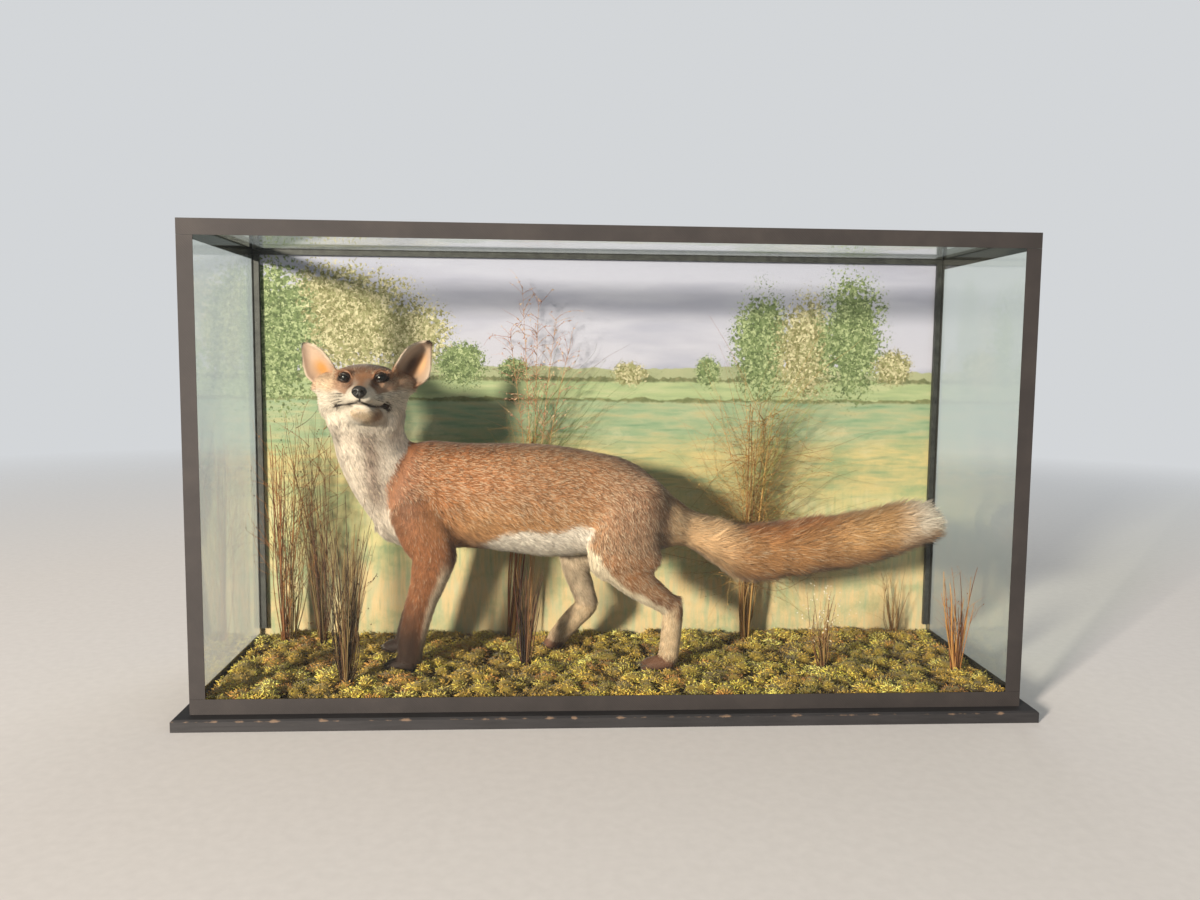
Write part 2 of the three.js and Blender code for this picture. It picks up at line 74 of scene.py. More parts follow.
def add(material, kind, values={}, links={}, stops=(), **settings):
    """Adds a node, sets it and its sockets, and joins earlier nodes' outputs to its inputs."""
    tree = material.node_tree
    node = tree.nodes.new("ShaderNode" + kind)
    for name, value in settings.items():
        setattr(node, name, value)
    if kind == "Mix" and settings.get("data_type") == "RGBA":
        socket = {"Factor": 0, "A": 6, "B": 7}
    else:
        socket = {}
    for name, value in values.items():
        if isinstance(value, str):
            value = linear(value) + [1]
        node.inputs[socket.get(name, name)].default_value = value
    for name, origin in links.items():
        origin = origin if isinstance(origin, tuple) else (origin, 0)
        output = origin[0].outputs[origin[1]]
        if origin[0].bl_idname == "ShaderNodeMix" and origin[0].data_type == "RGBA":
            output = origin[0].outputs[2]
        tree.links.new(output, node.inputs[socket.get(name, name)])
    for index, (place, colour) in enumerate(stops):
        elements = node.color_ramp.elements
        mark = elements[index] if index < 2 else elements.new(place)
        mark.position = place
        mark.color = linear(colour) + [1]
    return node


def noise(material, places, scale, detail, roughness=None):
    """Cloudy noise at the places that an earlier node gives."""
    values = {"Scale": scale, "Detail": detail}
    if roughness is not None:
        values["Roughness"] = roughness
    return add(material, "TexNoise", values, {"Vector": places})


def start_material(name, **values):
    """A new material and its Principled shader, with the constants set on the shader's sockets."""
    material = bpy.data.materials.new(name)
    material.use_nodes = True
    shader = material.node_tree.nodes["Principled BSDF"]
    for socket, value in values.items():
        value = linear(value) + [1] if isinstance(value, str) else value
        shader.inputs[socket.replace("_", " ")].default_value = value
    return material, shader


def join(material, node, output, shader, socket):
    """Joins a node's output to a socket of the shader."""
    material.node_tree.links.new(node.outputs[output], shader.inputs[socket])


def mottle(material, shader, scale, detail, low, high):
    """Colours a material with a cloudy pattern between two tones, and gives the pattern back."""
    place = add(material, "TexCoord")
    pattern = noise(material, (place, "Object"), scale, detail)
    tone = add(material, "ValToRGB", {}, {"Fac": pattern}, [low, high])
    join(material, tone, "Color", shader, "Base Color")
    return pattern


def lamp(name, place, target, size, power, colour, glossy):
    """A square area light that looks at a point."""
    data = bpy.data.lights.new(name, "AREA")
    data.size = size
    data.energy = power
    data.color = linear(colour)
    light = bpy.data.objects.new(name, data)
    scene.collection.objects.link(light)
    light.location = place
    light.rotation_euler = (Vector(target) - Vector(place)).to_track_quat("-Z", "Y").to_euler()
    light.visible_glossy = glossy


lamp("key_light", (-5.75, -7.4, 2.3), (0, 0.05, 0.35), 1.0, 2120, "#fff1e4", True)
lamp("fill_light", (2.2, -2.6, 1.3), (0, 0, 0.35), 2.2, 14, "#eaf1ff", False)
lamp("back_light", (0.5, 2.6, 2.2), (0, 0, 0.4), 2.0, 30, "#ffffff", False)

world = bpy.data.worlds.new("room")
world.use_nodes = True
backdrop = world.node_tree.nodes["Background"]
backdrop.inputs["Color"].default_value = linear("#e9ecef") + [1]
# The room looks pale where it is seen, and gives weaker light than it seems to.
ray = world.node_tree.nodes.new("ShaderNodeLightPath")
seen = world.node_tree.nodes.new("ShaderNodeMath")
seen.operation = "MAXIMUM"
world.node_tree.links.new(ray.outputs["Is Camera Ray"], seen.inputs[0])
world.node_tree.links.new(ray.outputs["Is Transmission Ray"], seen.inputs[1])
strength = world.node_tree.nodes.new("ShaderNodeMapRange")
strength.inputs["To Min"].default_value = 0.4
strength.inputs["To Max"].default_value = 0.8
world.node_tree.links.new(seen.outputs[0], strength.inputs["Value"])
world.node_tree.links.new(strength.outputs[0], backdrop.inputs["Strength"])
scene.world = world

bpy.ops.mesh.primitive_circle_add(vertices=96, radius=9, fill_type="NGON", location=(0, 0, 0))
floor = bpy.context.object
floor.name = "floor"
painted_floor, floor_shader = start_material("matt_floor_paint", Roughness=0.9, Specular_IOR_Level=0.2)
mottle(painted_floor, floor_shader, 60, 4, (0.3, "#cfcdc9"), (0.7, "#d4d2ce"))
# Far away the floor melts into the room.
place = add(painted_floor, "TexCoord")
away = add(painted_floor, "VectorMath", {}, {0: (place, "Object")}, operation="LENGTH")
far = add(painted_floor, "MapRange", {"From Min": 1.6, "From Max": 5.0}, {"Value": (away, 1)})
nothing = add(painted_floor, "BsdfTransparent")
floor_mix = add(painted_floor, "MixShader", {}, {0: far, 1: floor_shader, 2: nothing})
floor_output = painted_floor.node_tree.nodes["Material Output"]
painted_floor.node_tree.links.new(floor_mix.outputs[0], floor_output.inputs["Surface"])
floor.data.materials.append(painted_floor)


# ---- Base board ----
# A softwood board, chamfered round its upper edge and brushed with black paint that has gone dull.
# The glass box stands on it. Dust lies on the top, and the edges are rubbed through to brown.
def dress(piece, material):
    """Gives a piece its material."""
    piece.data.materials.clear()
    piece.data.materials.append(material)


def reckon(material, operation, *terms):
    """A sum or product whose terms are numbers or earlier nodes' outputs."""
    values, links = {}, {}
    for index, term in enumerate(terms):
        (values if isinstance(term, (int, float)) else links)[index] = term
    return add(material, "Math", values, links, operation=operation)


def stretched(material, place, scale):
    """A piece's own coordinates, stretched along its axes."""
    return add(material, "Mapping", {"Scale": scale}, {"Vector": (place, "Object")})


def emboss(material, shader, strength, distance, height):
    """Raises the surface a little where a pattern is light."""
    values = {"Strength": strength, "Distance": distance}
    relief = add(material, "Bump", values, {"Height": height})
    join(material, relief, "Normal", shader, "Normal")


HALF_LENGTH, HALF_DEPTH = 0.672, 0.2165
WORN_BAND = 0.0025
black_paint, shader = start_material("brushed_black_paint_on_softwood", Roughness=0.62)
place = add(black_paint, "TexCoord")
along = stretched(black_paint, place, (6, 90, 90))
brush = noise(black_paint, along, 3, 6, 0.6)
cloud = noise(black_paint, (place, "Object"), 9, 6)
dust = add(black_paint, "ValToRGB", {}, {"Fac": cloud}, [(0.35, "#161617"), (0.7, "#262526")])
streak = add(black_paint, "ValToRGB", {}, {"Fac": brush}, [(0.3, "#111112"), (0.75, "#2e2d2e")])
paint = add(black_paint, "Mix", {"Factor": 0.45}, {"A": dust, "B": streak}, data_type="RGBA")
# Worn edge: close to the board's outer limits, broken up by noise.
axes = add(black_paint, "SeparateXYZ", {}, {"Vector": (place, "Object")})
wide = reckon(black_paint, "ABSOLUTE", axes)
deep = reckon(black_paint, "ABSOLUTE", (axes, 1))
near_end = reckon(black_paint, "SUBTRACT", wide, HALF_LENGTH - WORN_BAND)
near_side = reckon(black_paint, "SUBTRACT", deep, HALF_DEPTH - WORN_BAND)
outermost = reckon(black_paint, "MAXIMUM", near_end, near_side)
near_top = reckon(black_paint, "SUBTRACT", (axes, 2), 0.0135)
nearest = reckon(black_paint, "MINIMUM", outermost, near_top)
chips = noise(black_paint, (place, "Object"), 55, 5)
ragged = reckon(black_paint, "MULTIPLY_ADD", chips, 0.016, -0.0104)
worn = reckon(black_paint, "ADD", nearest, ragged)
wear = add(black_paint, "MapRange", {"From Min": 0.0, "From Max": 0.002}, {"Value": worn})
board_paint = add(
    black_paint, "Mix", {"B": "#6b5846"}, {"Factor": wear, "A": paint}, data_type="RGBA"
)
join(black_paint, board_paint, 2, shader, "Base Color")
emboss(black_paint, shader, 0.5, 0.0006, brush)
dress(nodes["case_base_board"], black_paint)

# ---- Back board ----
# A plywood board, 9 mm, that closes the back of the box. Its front is painted by hand in oils with a
# quiet country view: pale sky, a low hill, a copse, hedges, a meadow and long grass in front.
back_paint, shader = start_material("oil_paint_on_board", Roughness=0.72, Specular_IOR_Level=0.25)
place = add(back_paint, "TexCoord")
axes = add(back_paint, "SeparateXYZ", {}, {"Vector": (place, "Object")})
# Brush marks: dabs of about 7 mm, long horizontal strokes and upright strokes.
smear = noise(back_paint, (place, "Object"), 190, 4)
smear = add(back_paint, "VectorMath", {"Scale": 0.016}, {0: (smear, 1)}, operation="SCALE")
smeared = add(back_paint, "VectorMath", {}, {0: (place, "Object"), 1: smear}, operation="ADD")
dabs = add(back_paint, "TexVoronoi", {"Scale": 250, "Randomness": 1}, {"Vector": smeared})
dab_tone = add(back_paint, "SeparateColor", {}, {"Color": (dabs, "Color")})
long_marks = stretched(back_paint, place, (14, 1, 110))
strokes = noise(back_paint, long_marks, 1, 5)
up_marks = stretched(back_paint, place, (120, 1, 16))
blades = noise(back_paint, up_marks, 1, 5)
broad = noise(back_paint, (place, "Object"), 5.5, 4, 0.6)
fine = noise(back_paint, (place, "Object"), 60, 6, 0.7)


def laid_over(under, colour, mask):
    """One layer of paint over another where the mask is 1."""
    return add(back_paint, "Mix", {}, {"Factor": mask, "A": under, "B": colour}, data_type="RGBA")


def below(height, roughness, pace, seed, soft):
    """A mask that is 1 under a wavering line at the given height in metres, with a soft edge."""
    across = reckon(back_paint, "MULTIPLY_ADD", axes, pace, seed)
    wave = add(
        back_paint, "TexNoise", {"Scale": 1, "Detail": 5, "Roughness": 0.62}, {"W": across},
        noise_dimensions="1D",
    )
    line = reckon(back_paint, "MULTIPLY_ADD", wave, 2 * roughness, height - roughness)
    rag = reckon(back_paint, "MULTIPLY_ADD", fine, 0.01, -0.005)
    edge = reckon(back_paint, "ADD", line, rag)
    gap = reckon(back_paint, "SUBTRACT", edge, (axes, 2))
    return add(back_paint, "MapRange", {"From Min": -soft, "From Max": soft}, {"Value": gap})


def heap(x, z, half_width, half_height, raggedness, dab_size):
    """A mask for a rounded clump of leaves with a broken, dabbed outline."""
    off = reckon(back_paint, "SUBTRACT", axes, x)
    off = reckon(back_paint, "MULTIPLY", off, 1 / half_width)
    rise = reckon(back_paint, "SUBTRACT", (axes, 2), z)
    rise = reckon(back_paint, "MULTIPLY", rise, 1 / half_height)
    flat = add(back_paint, "CombineXYZ", {}, {"X": off, "Y": rise})
    reach = add(back_paint, "VectorMath", {}, {0: flat}, operation="LENGTH")
    leaves = add(
        back_paint, "TexVoronoi", {"Scale": 1.5 * dab_size, "Randomness": 1}, {"Vector": smeared}
    )
    bite = reckon(back_paint, "MULTIPLY_ADD", (leaves, 0), raggedness, -1 - raggedness * 0.45)
    lumps = reckon(back_paint, "MULTIPLY_ADD", broad, 1.1, -0.55)
    edge = reckon(back_paint, "ADD", (reach, 1), bite)
    edge = reckon(back_paint, "ADD", edge, lumps)
    return add(back_paint, "MapRange", {"From Min": 0.02, "From Max": -0.02}, {"Value": edge})


# Sky: warm white low down, cool grey above, with long soft clouds.
high = add(back_paint, "MapRange", {"From Min": 0.5, "From Max": 0.78}, {"Value": (axes, 2)})
sky = add(back_paint, "ValToRGB", {}, {"Fac": high}, [(0, "#b3b1c0"), (1, "#a5a7ba")])
cloud_places = stretched(back_paint, place, (3, 1, 16))
clouds = noise(back_paint, cloud_places, 1, 6)
cloud_mask = add(back_paint, "MapRange", {"From Min": 0.48, "From Max": 0.66}, {"Value": clouds})
cloud_paint = add(back_paint, "RGB")
cloud_paint.outputs[0].default_value = linear("#9a9bae") + [1]
picture = laid_over(sky, cloud_paint, cloud_mask)


def mixed_paint(tones, guide):
    """Paint whose colour runs through several tones with a guide pattern."""
    stops = [(0.25 + 0.5 * i / (len(tones) - 1), tone) for i, tone in enumerate(tones)]
    return add(back_paint, "ValToRGB", {}, {"Fac": guide}, stops)


# The layers of land from far to near: height, waver, pace of the waver, softness, tones, guide.
LAND = [
    (0.548, 0.030, 2.1, 0.001, ["#7b8367", "#949879", "#a6a485"], broad),
    (0.532, 0.012, 34.0, 0.001, ["#474f37", "#676b4c", "#878263"], fine),
    (0.524, 0.004, 6.0, 0.002, ["#859472", "#97a37b", "#aaac88"], strokes),
    (0.492, 0.008, 20.0, 0.001, ["#4c573a", "#6c714e", "#8b8862"], fine),
    (0.486, 0.006, 5.0, 0.002, ["#6d896c", "#87997b", "#999f7f", "#a89f79"], strokes),
    (0.405, 0.030, 3.0, 0.020, ["#889471", "#a6a378", "#bdac7b", "#979a70"], strokes),
    (0.300, 0.040, 4.0, 0.035, ["#8fa179", "#aeb083", "#c4ba88", "#9fa577"], blades),
    (0.180, 0.050, 5.0, 0.040, ["#9fa886", "#b9b08b", "#cdb387", "#ada480"], blades),
]
for seed, (height, waver, pace, soft, tones, guide) in enumerate(LAND):
    line = below(height, waver, pace, 3.7 * seed + 1, soft)
    picture = laid_over(picture, mixed_paint(tones, guide), line)
# Blotches of thicker green and yellow in the meadow.
blotch_places = add(back_paint, "Mapping", {"Scale": (9, 1, 15)}, {"Vector": smeared})
blotches = add(
    back_paint, "TexNoise", {"Scale": 1, "Detail": 6, "Roughness": 0.7}, {"Vector": blotch_places}
)
in_meadow = add(back_paint, "MapRange", {"From Min": 0.49, "From Max": 0.44}, {"Value": (axes, 2)})
green_range = {"From Min": 0.5, "From Max": 0.68, "To Max": 0.6}
green_share = add(back_paint, "MapRange", green_range, {"Value": blotches})
green_share = reckon(back_paint, "MULTIPLY", green_share, in_meadow)
picture = laid_over(picture, mixed_paint(["#6b8865", "#809a74"], fine), green_share)
pale_range = {"From Min": 0.46, "From Max": 0.3, "To Max": 0.5}
pale_share = add(back_paint, "MapRange", pale_range, {"Value": blotches})
pale_share = reckon(back_paint, "MULTIPLY", pale_share, in_meadow)
picture = laid_over(picture, mixed_paint(["#c1b58e", "#cdc4a8"], fine), pale_share)

# A copse in the left of the view and single bushes along the hedges: centre, half sizes, tones.
LEAF_LIGHT = ["#6b6844", "#a29a78", "#ccc3a2", "#888760"]
LEAF_COOL = ["#4d5a3a", "#7f8d64", "#aab388", "#66754c"]
CLUMPS = [
    (-0.50, 0.640, 0.150, 0.100, 0.9, 95, LEAF_LIGHT),
    (-0.62, 0.600, 0.090, 0.140, 0.9, 95, LEAF_COOL),
    (-0.36, 0.600, 0.080, 0.070, 0.9, 110, LEAF_LIGHT),
    (-0.27, 0.555, 0.050, 0.045, 0.8, 130, LEAF_COOL),
    (-0.17, 0.545, 0.028, 0.024, 0.8, 160, LEAF_COOL),
    (0.05, 0.540, 0.034, 0.022, 0.8, 160, LEAF_LIGHT),
    (0.200, 0.545, 0.024, 0.030, 0.8, 150, LEAF_COOL),
    (0.310, 0.600, 0.060, 0.100, 0.9, 120, LEAF_COOL),
    (0.390, 0.590, 0.062, 0.105, 0.9, 120, LEAF_LIGHT),
    (0.475, 0.610, 0.070, 0.115, 0.9, 115, LEAF_COOL),
    (0.560, 0.555, 0.040, 0.036, 0.8, 150, LEAF_LIGHT),
]
for x, z, half_width, half_height, raggedness, dab_size, tones in CLUMPS:
    leaf_paint = mixed_paint(tones, (dab_tone, 0))
    mask = heap(x, z, half_width, half_height, raggedness, dab_size)
    picture = laid_over(picture, leaf_paint, mask)

# The edges and the back of the board are bare plywood, browned with age.
plies = stretched(back_paint, place, (4, 300, 60))
ply_grain = noise(back_paint, plies, 1, 7)
plywood = add(back_paint, "ValToRGB", {}, {"Fac": ply_grain}, [(0.3, "#7d5f40"), (0.7, "#a5835b")])
surface = add(back_paint, "NewGeometry")
turned = add(back_paint, "SeparateXYZ", {}, {"Vector": (surface, "Normal")})
on_front = reckon(back_paint, "LESS_THAN", (turned, 1), -0.5)
board = laid_over(plywood, picture, on_front)
join(back_paint, board, 2, shader, "Base Color")
stroke_height = reckon(back_paint, "ADD", strokes, fine)
emboss(back_paint, shader, 0.5, 0.0012, stroke_height)
dress(nodes["case_back_board"], back_paint)

# ---- Battens ----
# Square softwood strips, 9 mm, glued into the corners of the box and painted black with a brush.
batten_paint, shader = start_material("black_painted_strip_wood", Roughness=0.55)
place = add(batten_paint, "TexCoord")
along = stretched(batten_paint, place, (40, 40, 40))
brush = noise(batten_paint, along, 2.5, 6)
tone = add(batten_paint, "ValToRGB", {}, {"Fac": brush}, [(0.3, "#1b1c1b"), (0.75, "#3c3d3a")])
join(batten_paint, tone, "Color", shader, "Base Color")
emboss(batten_paint, shader, 0.4, 0.0005, brush)
for name in ("case_batten_left", "case_batten_right", "case_batten_top"):
    dress(nodes[name], batten_paint)

# ---- Moss ----
# Dried sheet moss laid on wood wool over the floor of the box: feathery golden-green fronds in
# cushions of two to five centimetres, brown where the stems show between them. The hollows and
# the sides of the bed are painted darker as shade, and the tops of the cushions paler as light.
def ramp(value, low, high):
    """0 at low, 1 at high and soft between."""
    share = np.clip((value - low) / (high - low), 0, 1)
    return share * share * (3 - 2 * share)


def unit_way(ways):
    """Directions made one long."""
    if ways.ndim == 1:
        return ways / np.linalg.norm(ways)
    return ways / np.linalg.norm(ways, axis=-1)[..., None]


def soft_noise(points, size, seed):
    """Smooth noise from -1 to 1 whose lumps are about the given size in metres."""
    table = np.random.default_rng(seed).uniform(-1, 1, (16, 16, 16))
    places = points / size + 100
    cell = np.floor(places).astype(int)
    share = places - cell
    share = share * share * (3 - 2 * share)
    total = 0
    for dx in (0, 1):
        for dy in (0, 1):
            for dz in (0, 1):
                weight = (
                    abs(1 - dx - share[:, 0]) * abs(1 - dy - share[:, 1]) * abs(1 - dz - share[:, 2])
                )
                corner = (cell + [dx, dy, dz]) % 16
                total = total + weight * table[corner[:, 0], corner[:, 1], corner[:, 2]]
    return total


def over(under, *layers):
    """Colours of the points with others laid over them in turn, each where its mask is 1."""
    for colour, mask in zip(layers[::2], layers[1::2]):
        mask = np.clip(mask, 0, 1)[:, None]
        under = under * (1 - mask) + np.array(linear(colour)) * mask
    return under


def mesh_from(name, points, faces, sizes=None):
    """An object from an array of points and an array of faces, or of corners and face sizes."""
    mesh = bpy.data.meshes.new(name)
    faces = np.asarray(faces, np.int32)
    if sizes is None:
        sizes = np.full(len(faces), faces.shape[1], np.int32)
    corners = faces.reshape(-1)
    mesh.vertices.add(len(points))
    mesh.vertices.foreach_set("co", np.asarray(points, np.float32).reshape(-1))
    mesh.loops.add(len(corners))
    mesh.loops.foreach_set("vertex_index", corners)
    mesh.polygons.add(len(sizes))
    starts = np.concatenate([[0], np.cumsum(sizes)[:-1]]).astype(np.int32)
    mesh.polygons.foreach_set("loop_start", starts)
    mesh.update(calc_edges=True)
    piece = bpy.data.objects.new(name, mesh)
    scene.collection.objects.link(piece)
    return piece


def put_colours(piece, layer_name, colours):
    """Stores one colour for each point of a piece."""
    layer = piece.data.color_attributes.new(layer_name, "FLOAT_COLOR", "POINT")
    shade = np.ones((len(colours), 4))
    shade[:, :3] = np.clip(colours, 0.001, 0.95)
    layer.data.foreach_set("color", shade.astype(np.float32).reshape(-1))


moss_low, moss_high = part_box("moss_floor")
moss_node = nodes["moss_floor"].data
moss_solid = BVHTree.FromPolygons(
    [vertex.co for vertex in moss_node.vertices], [face.vertices for face in moss_node.polygons]
)
MOSS_COLUMNS, MOSS_ROWS = 300, 88
grid_x = np.linspace(moss_low.x, moss_high.x, MOSS_COLUMNS)
grid_y = np.linspace(moss_low.y, moss_high.y, MOSS_ROWS)
flat_x, flat_y = [part.reshape(-1) for part in np.meshgrid(grid_x, grid_y)]
moss_top = []
for x, y in zip(flat_x, flat_y):
    inner_x = min(max(x, moss_low.x + 0.001), moss_high.x - 0.001)
    inner_y = min(max(y, moss_low.y + 0.001), moss_high.y - 0.001)
    hit = moss_solid.ray_cast(Vector((inner_x, inner_y, 0.3)), Vector((0, 0, -1)))
    moss_top.append(hit[0].z if hit[0] else moss_high.z)

# Cushions: a loose net of domes, 2 to 5 cm across. None stands where a paw stands.
chance = np.random.default_rng(33)
NET = 0.0285
net_x, net_y = np.meshgrid(
    np.arange(moss_low.x + 0.008, moss_high.x - 0.004, NET),
    np.arange(moss_low.y + 0.007, moss_high.y - 0.003, NET * 0.88),
)
net_x = net_x + NET * 0.5 * (np.arange(net_x.shape[0]) % 2)[:, None]
net_x = (net_x + chance.normal(0, 0.24 * NET, net_x.shape)).reshape(-1)
net_y = (net_y + chance.normal(0, 0.24 * NET, net_y.shape)).reshape(-1)
dome_reach = NET * chance.uniform(0.42, 0.84, len(net_x))
dome_height = chance.uniform(0.007, 0.019, len(net_x))
crown = np.zeros(len(flat_x))
owner = np.zeros(len(flat_x), int)
for number, (x, y, reach, height) in enumerate(zip(net_x, net_y, dome_reach, dome_height)):
    off = ((flat_x - x) ** 2 + (flat_y - y) ** 2) / reach**2
    rise = height * np.sqrt(np.clip(1 - off, 0, 1))
    owner = np.where(rise > crown, number, owner)
    crown = np.maximum(crown, rise)
flat_places = np.stack([flat_x, flat_y, 0 * flat_x], 1)
crown = crown + 0.0012 * soft_noise(flat_places, 0.008, 31)
PAW_NAMES = ("forepaw_left", "forepaw_right", "hindpaw_left", "hindpaw_right")
for paw in PAW_NAMES:
    low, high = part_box("fox_" + paw)
    beside = np.maximum(
        np.maximum(low.x - flat_x, flat_x - high.x), np.maximum(low.y - flat_y, flat_y - high.y)
    )
    reach = -0.004 if paw.startswith("fore") else -0.012
    crown = crown * ramp(beside, reach, reach + 0.011)
from_edge = np.minimum(
    np.minimum(flat_x - moss_low.x, moss_high.x - flat_x),
    np.minimum(flat_y - moss_low.y, moss_high.y - flat_y),
)
crown = crown * (0.1 + 0.9 * ramp(from_edge, 0.001, 0.014))
bed_z = np.array(moss_top) - 0.0115 + crown
grid = np.arange(MOSS_COLUMNS * MOSS_ROWS).reshape(MOSS_ROWS, MOSS_COLUMNS)
bed_faces = np.stack([grid[:-1, :-1], grid[:-1, 1:], grid[1:, 1:], grid[1:, :-1]], -1).reshape(-1, 4)
border = np.concatenate([grid[0, :-1], grid[:-1, -1], grid[-1, :0:-1], grid[:0:-1, 0]])
bed_points = np.stack([flat_x, flat_y, bed_z], 1)
foot = bed_points[border].copy()
foot[:, 2] = moss_low.z
foot_numbers = len(bed_points) + np.arange(len(border))
walls = np.stack([np.roll(border, -1), border, foot_numbers, np.roll(foot_numbers, -1)], 1)
all_corners = np.concatenate([bed_faces.reshape(-1), walls.reshape(-1), foot_numbers[::-1]])
all_sizes = [4] * (len(bed_faces) + len(walls)) + [len(foot_numbers)]
bed = mesh_from("moss_bed", np.vstack([bed_points, foot]), all_corners, np.array(all_sizes, np.int32))
bed.data.shade_smooth()

moss, shader = start_material(
    "dried_sheet_moss", Roughness=0.9, Specular_IOR_Level=0.12, Sheen_Weight=0.15
)
paint = add(moss, "VertexColor", layer_name="moss")
place = add(moss, "TexCoord")
frond = noise(moss, (place, "Object"), 500, 3)
flecks = add(moss, "MapRange", {"To Min": 0.6, "To Max": 1.35}, {"Value": frond})
tone = add(moss, "VectorMath", {}, {0: paint, 1: flecks}, operation="MULTIPLY")
join(moss, tone, "Vector", shader, "Base Color")
emboss(moss, shader, 0.7, 0.001, frond)


# Painted light and shade on the bed: golden on the tops of the cushions, dark brown in the hollows where the
# stems show and shade falls, and darker still on the sides of the bed.
lit_crown = ramp(crown, 0.003, 0.013)
bed_tone = over(np.tile(linear("#3a2a12"), (len(flat_x), 1)), "#85702f", lit_crown)
put_colours(bed, "moss", np.vstack([bed_tone, bed_tone[border] * 0.6]))
bed.data.materials.append(moss)
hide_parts("moss_floor")
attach(bed, "root")

# Fronds: thin curved sprigs over the whole bed, each pointing out of its own cushion.
total = 55000
foot_x = chance.uniform(moss_low.x + 0.001, moss_high.x - 0.001, total)
foot_y = chance.uniform(moss_low.y + 0.001, moss_high.y - 0.001, total)
edge = total // 16
foot_y[:edge] = chance.uniform(moss_low.y + 0.0008, moss_low.y + 0.012, edge)
column = np.round((foot_x - moss_low.x) / (moss_high.x - moss_low.x) * (MOSS_COLUMNS - 1))
column = np.clip(column, 1, MOSS_COLUMNS - 2)
row = np.round((foot_y - moss_low.y) / (moss_high.y - moss_low.y) * (MOSS_ROWS - 1))
row = np.clip(row, 1, MOSS_ROWS - 2)
cell = (row * MOSS_COLUMNS + column).astype(int)
foot = np.stack([foot_x, foot_y, bed_z[cell] - 0.002], 1)
own = owner[cell]
away = np.stack([foot_x - net_x[own], foot_y - net_y[own]], 1) / dome_reach[own][:, None]
way = np.concatenate([away * 0.8, np.full((total, 1), 0.42)], 1)
way = way + chance.normal(0, 0.62, (total, 3)) * [1, 1, 0.5]
way[:, 2] = np.maximum(way[:, 2], 0.08)
way[:edge, 1] *= 0.4
way = unit_way(way)
long = chance.uniform(0.0055, 0.0115, total)
across = np.cross(way, chance.normal(0, 1, (total, 3)))
across = unit_way(across)
above = np.cross(across, way)
wide = chance.uniform(0.0013, 0.0024, total)
curl = chance.normal(0, 0.35, total)
FROND = np.array([(0, -0.5, 0), (0, 0.5, 0), (0.35, 0, 0.7), (1, 0, 0.2)])
FROND_FACES = [(0, 1, 2), (0, 3, 1), (0, 2, 3), (1, 3, 2)]
aside = wide[:, None] * FROND[:, 1] * 1.4 + (curl * long)[:, None] * FROND[:, 0] ** 2
corners = (
    foot[:, None]
    + way[:, None] * (long[:, None] * FROND[:, 0])[..., None]
    + across[:, None] * aside[..., None]
    + above[:, None] * (wide[:, None] * FROND[:, 2])[..., None]
    - np.array([0, 0, 1.0]) * (long[:, None] * FROND[:, 0] ** 2 * 0.2)[..., None]
)
corners[..., 0] = np.clip(corners[..., 0], moss_low.x + 0.0003, moss_high.x - 0.0003)
corners[..., 1] = np.clip(corners[..., 1], moss_low.y + 0.0003, moss_high.y - 0.0003)
MOSS_TONES = np.array(
    [linear(tone) for tone in ("#e6b850", "#cdb048", "#a89a42", "#f3c65a", "#d09348", "#f7db6c")]
)
kind_of = chance.choice(6, len(net_x), p=[0.26, 0.22, 0.14, 0.16, 0.12, 0.10])
tone = MOSS_TONES[kind_of][own] * chance.uniform(0.65, 1.4, total)[:, None]
drift = ramp(soft_noise(foot * [1, 1, 0], 0.05, 37), -0.5, 0.5)[:, None]
tone = tone * (0.65 + 0.85 * drift)
# The fronds are darker towards their feet, and painted darker in the hollows as shade and paler on the
# crowns as light.
lit = ramp(crown[cell], 0.0015, 0.0125)[:, None, None]
share = FROND[:, 0][None, :, None]
colour = tone[:, None] * (0.22 + 0.26 * lit + (0.22 + 0.66 * lit) * share)
for number in range(2):
    part = slice(number * total // 2, (number + 1) * total // 2)
    amount = len(foot[part])
    shift = (np.arange(amount) * 4)[:, None, None]
    faces = (np.array(FROND_FACES)[None] + shift).reshape(-1, 3)
    sprigs = mesh_from(f"moss_fronds_{number + 1}", corners[part].reshape(-1, 3), faces)
    sprigs.data.shade_smooth()
    put_colours(sprigs, "moss", colour[part].reshape(-1, 3))
    sprigs.data.materials.append(moss)
    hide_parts("moss_floor")
    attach(sprigs, "root")

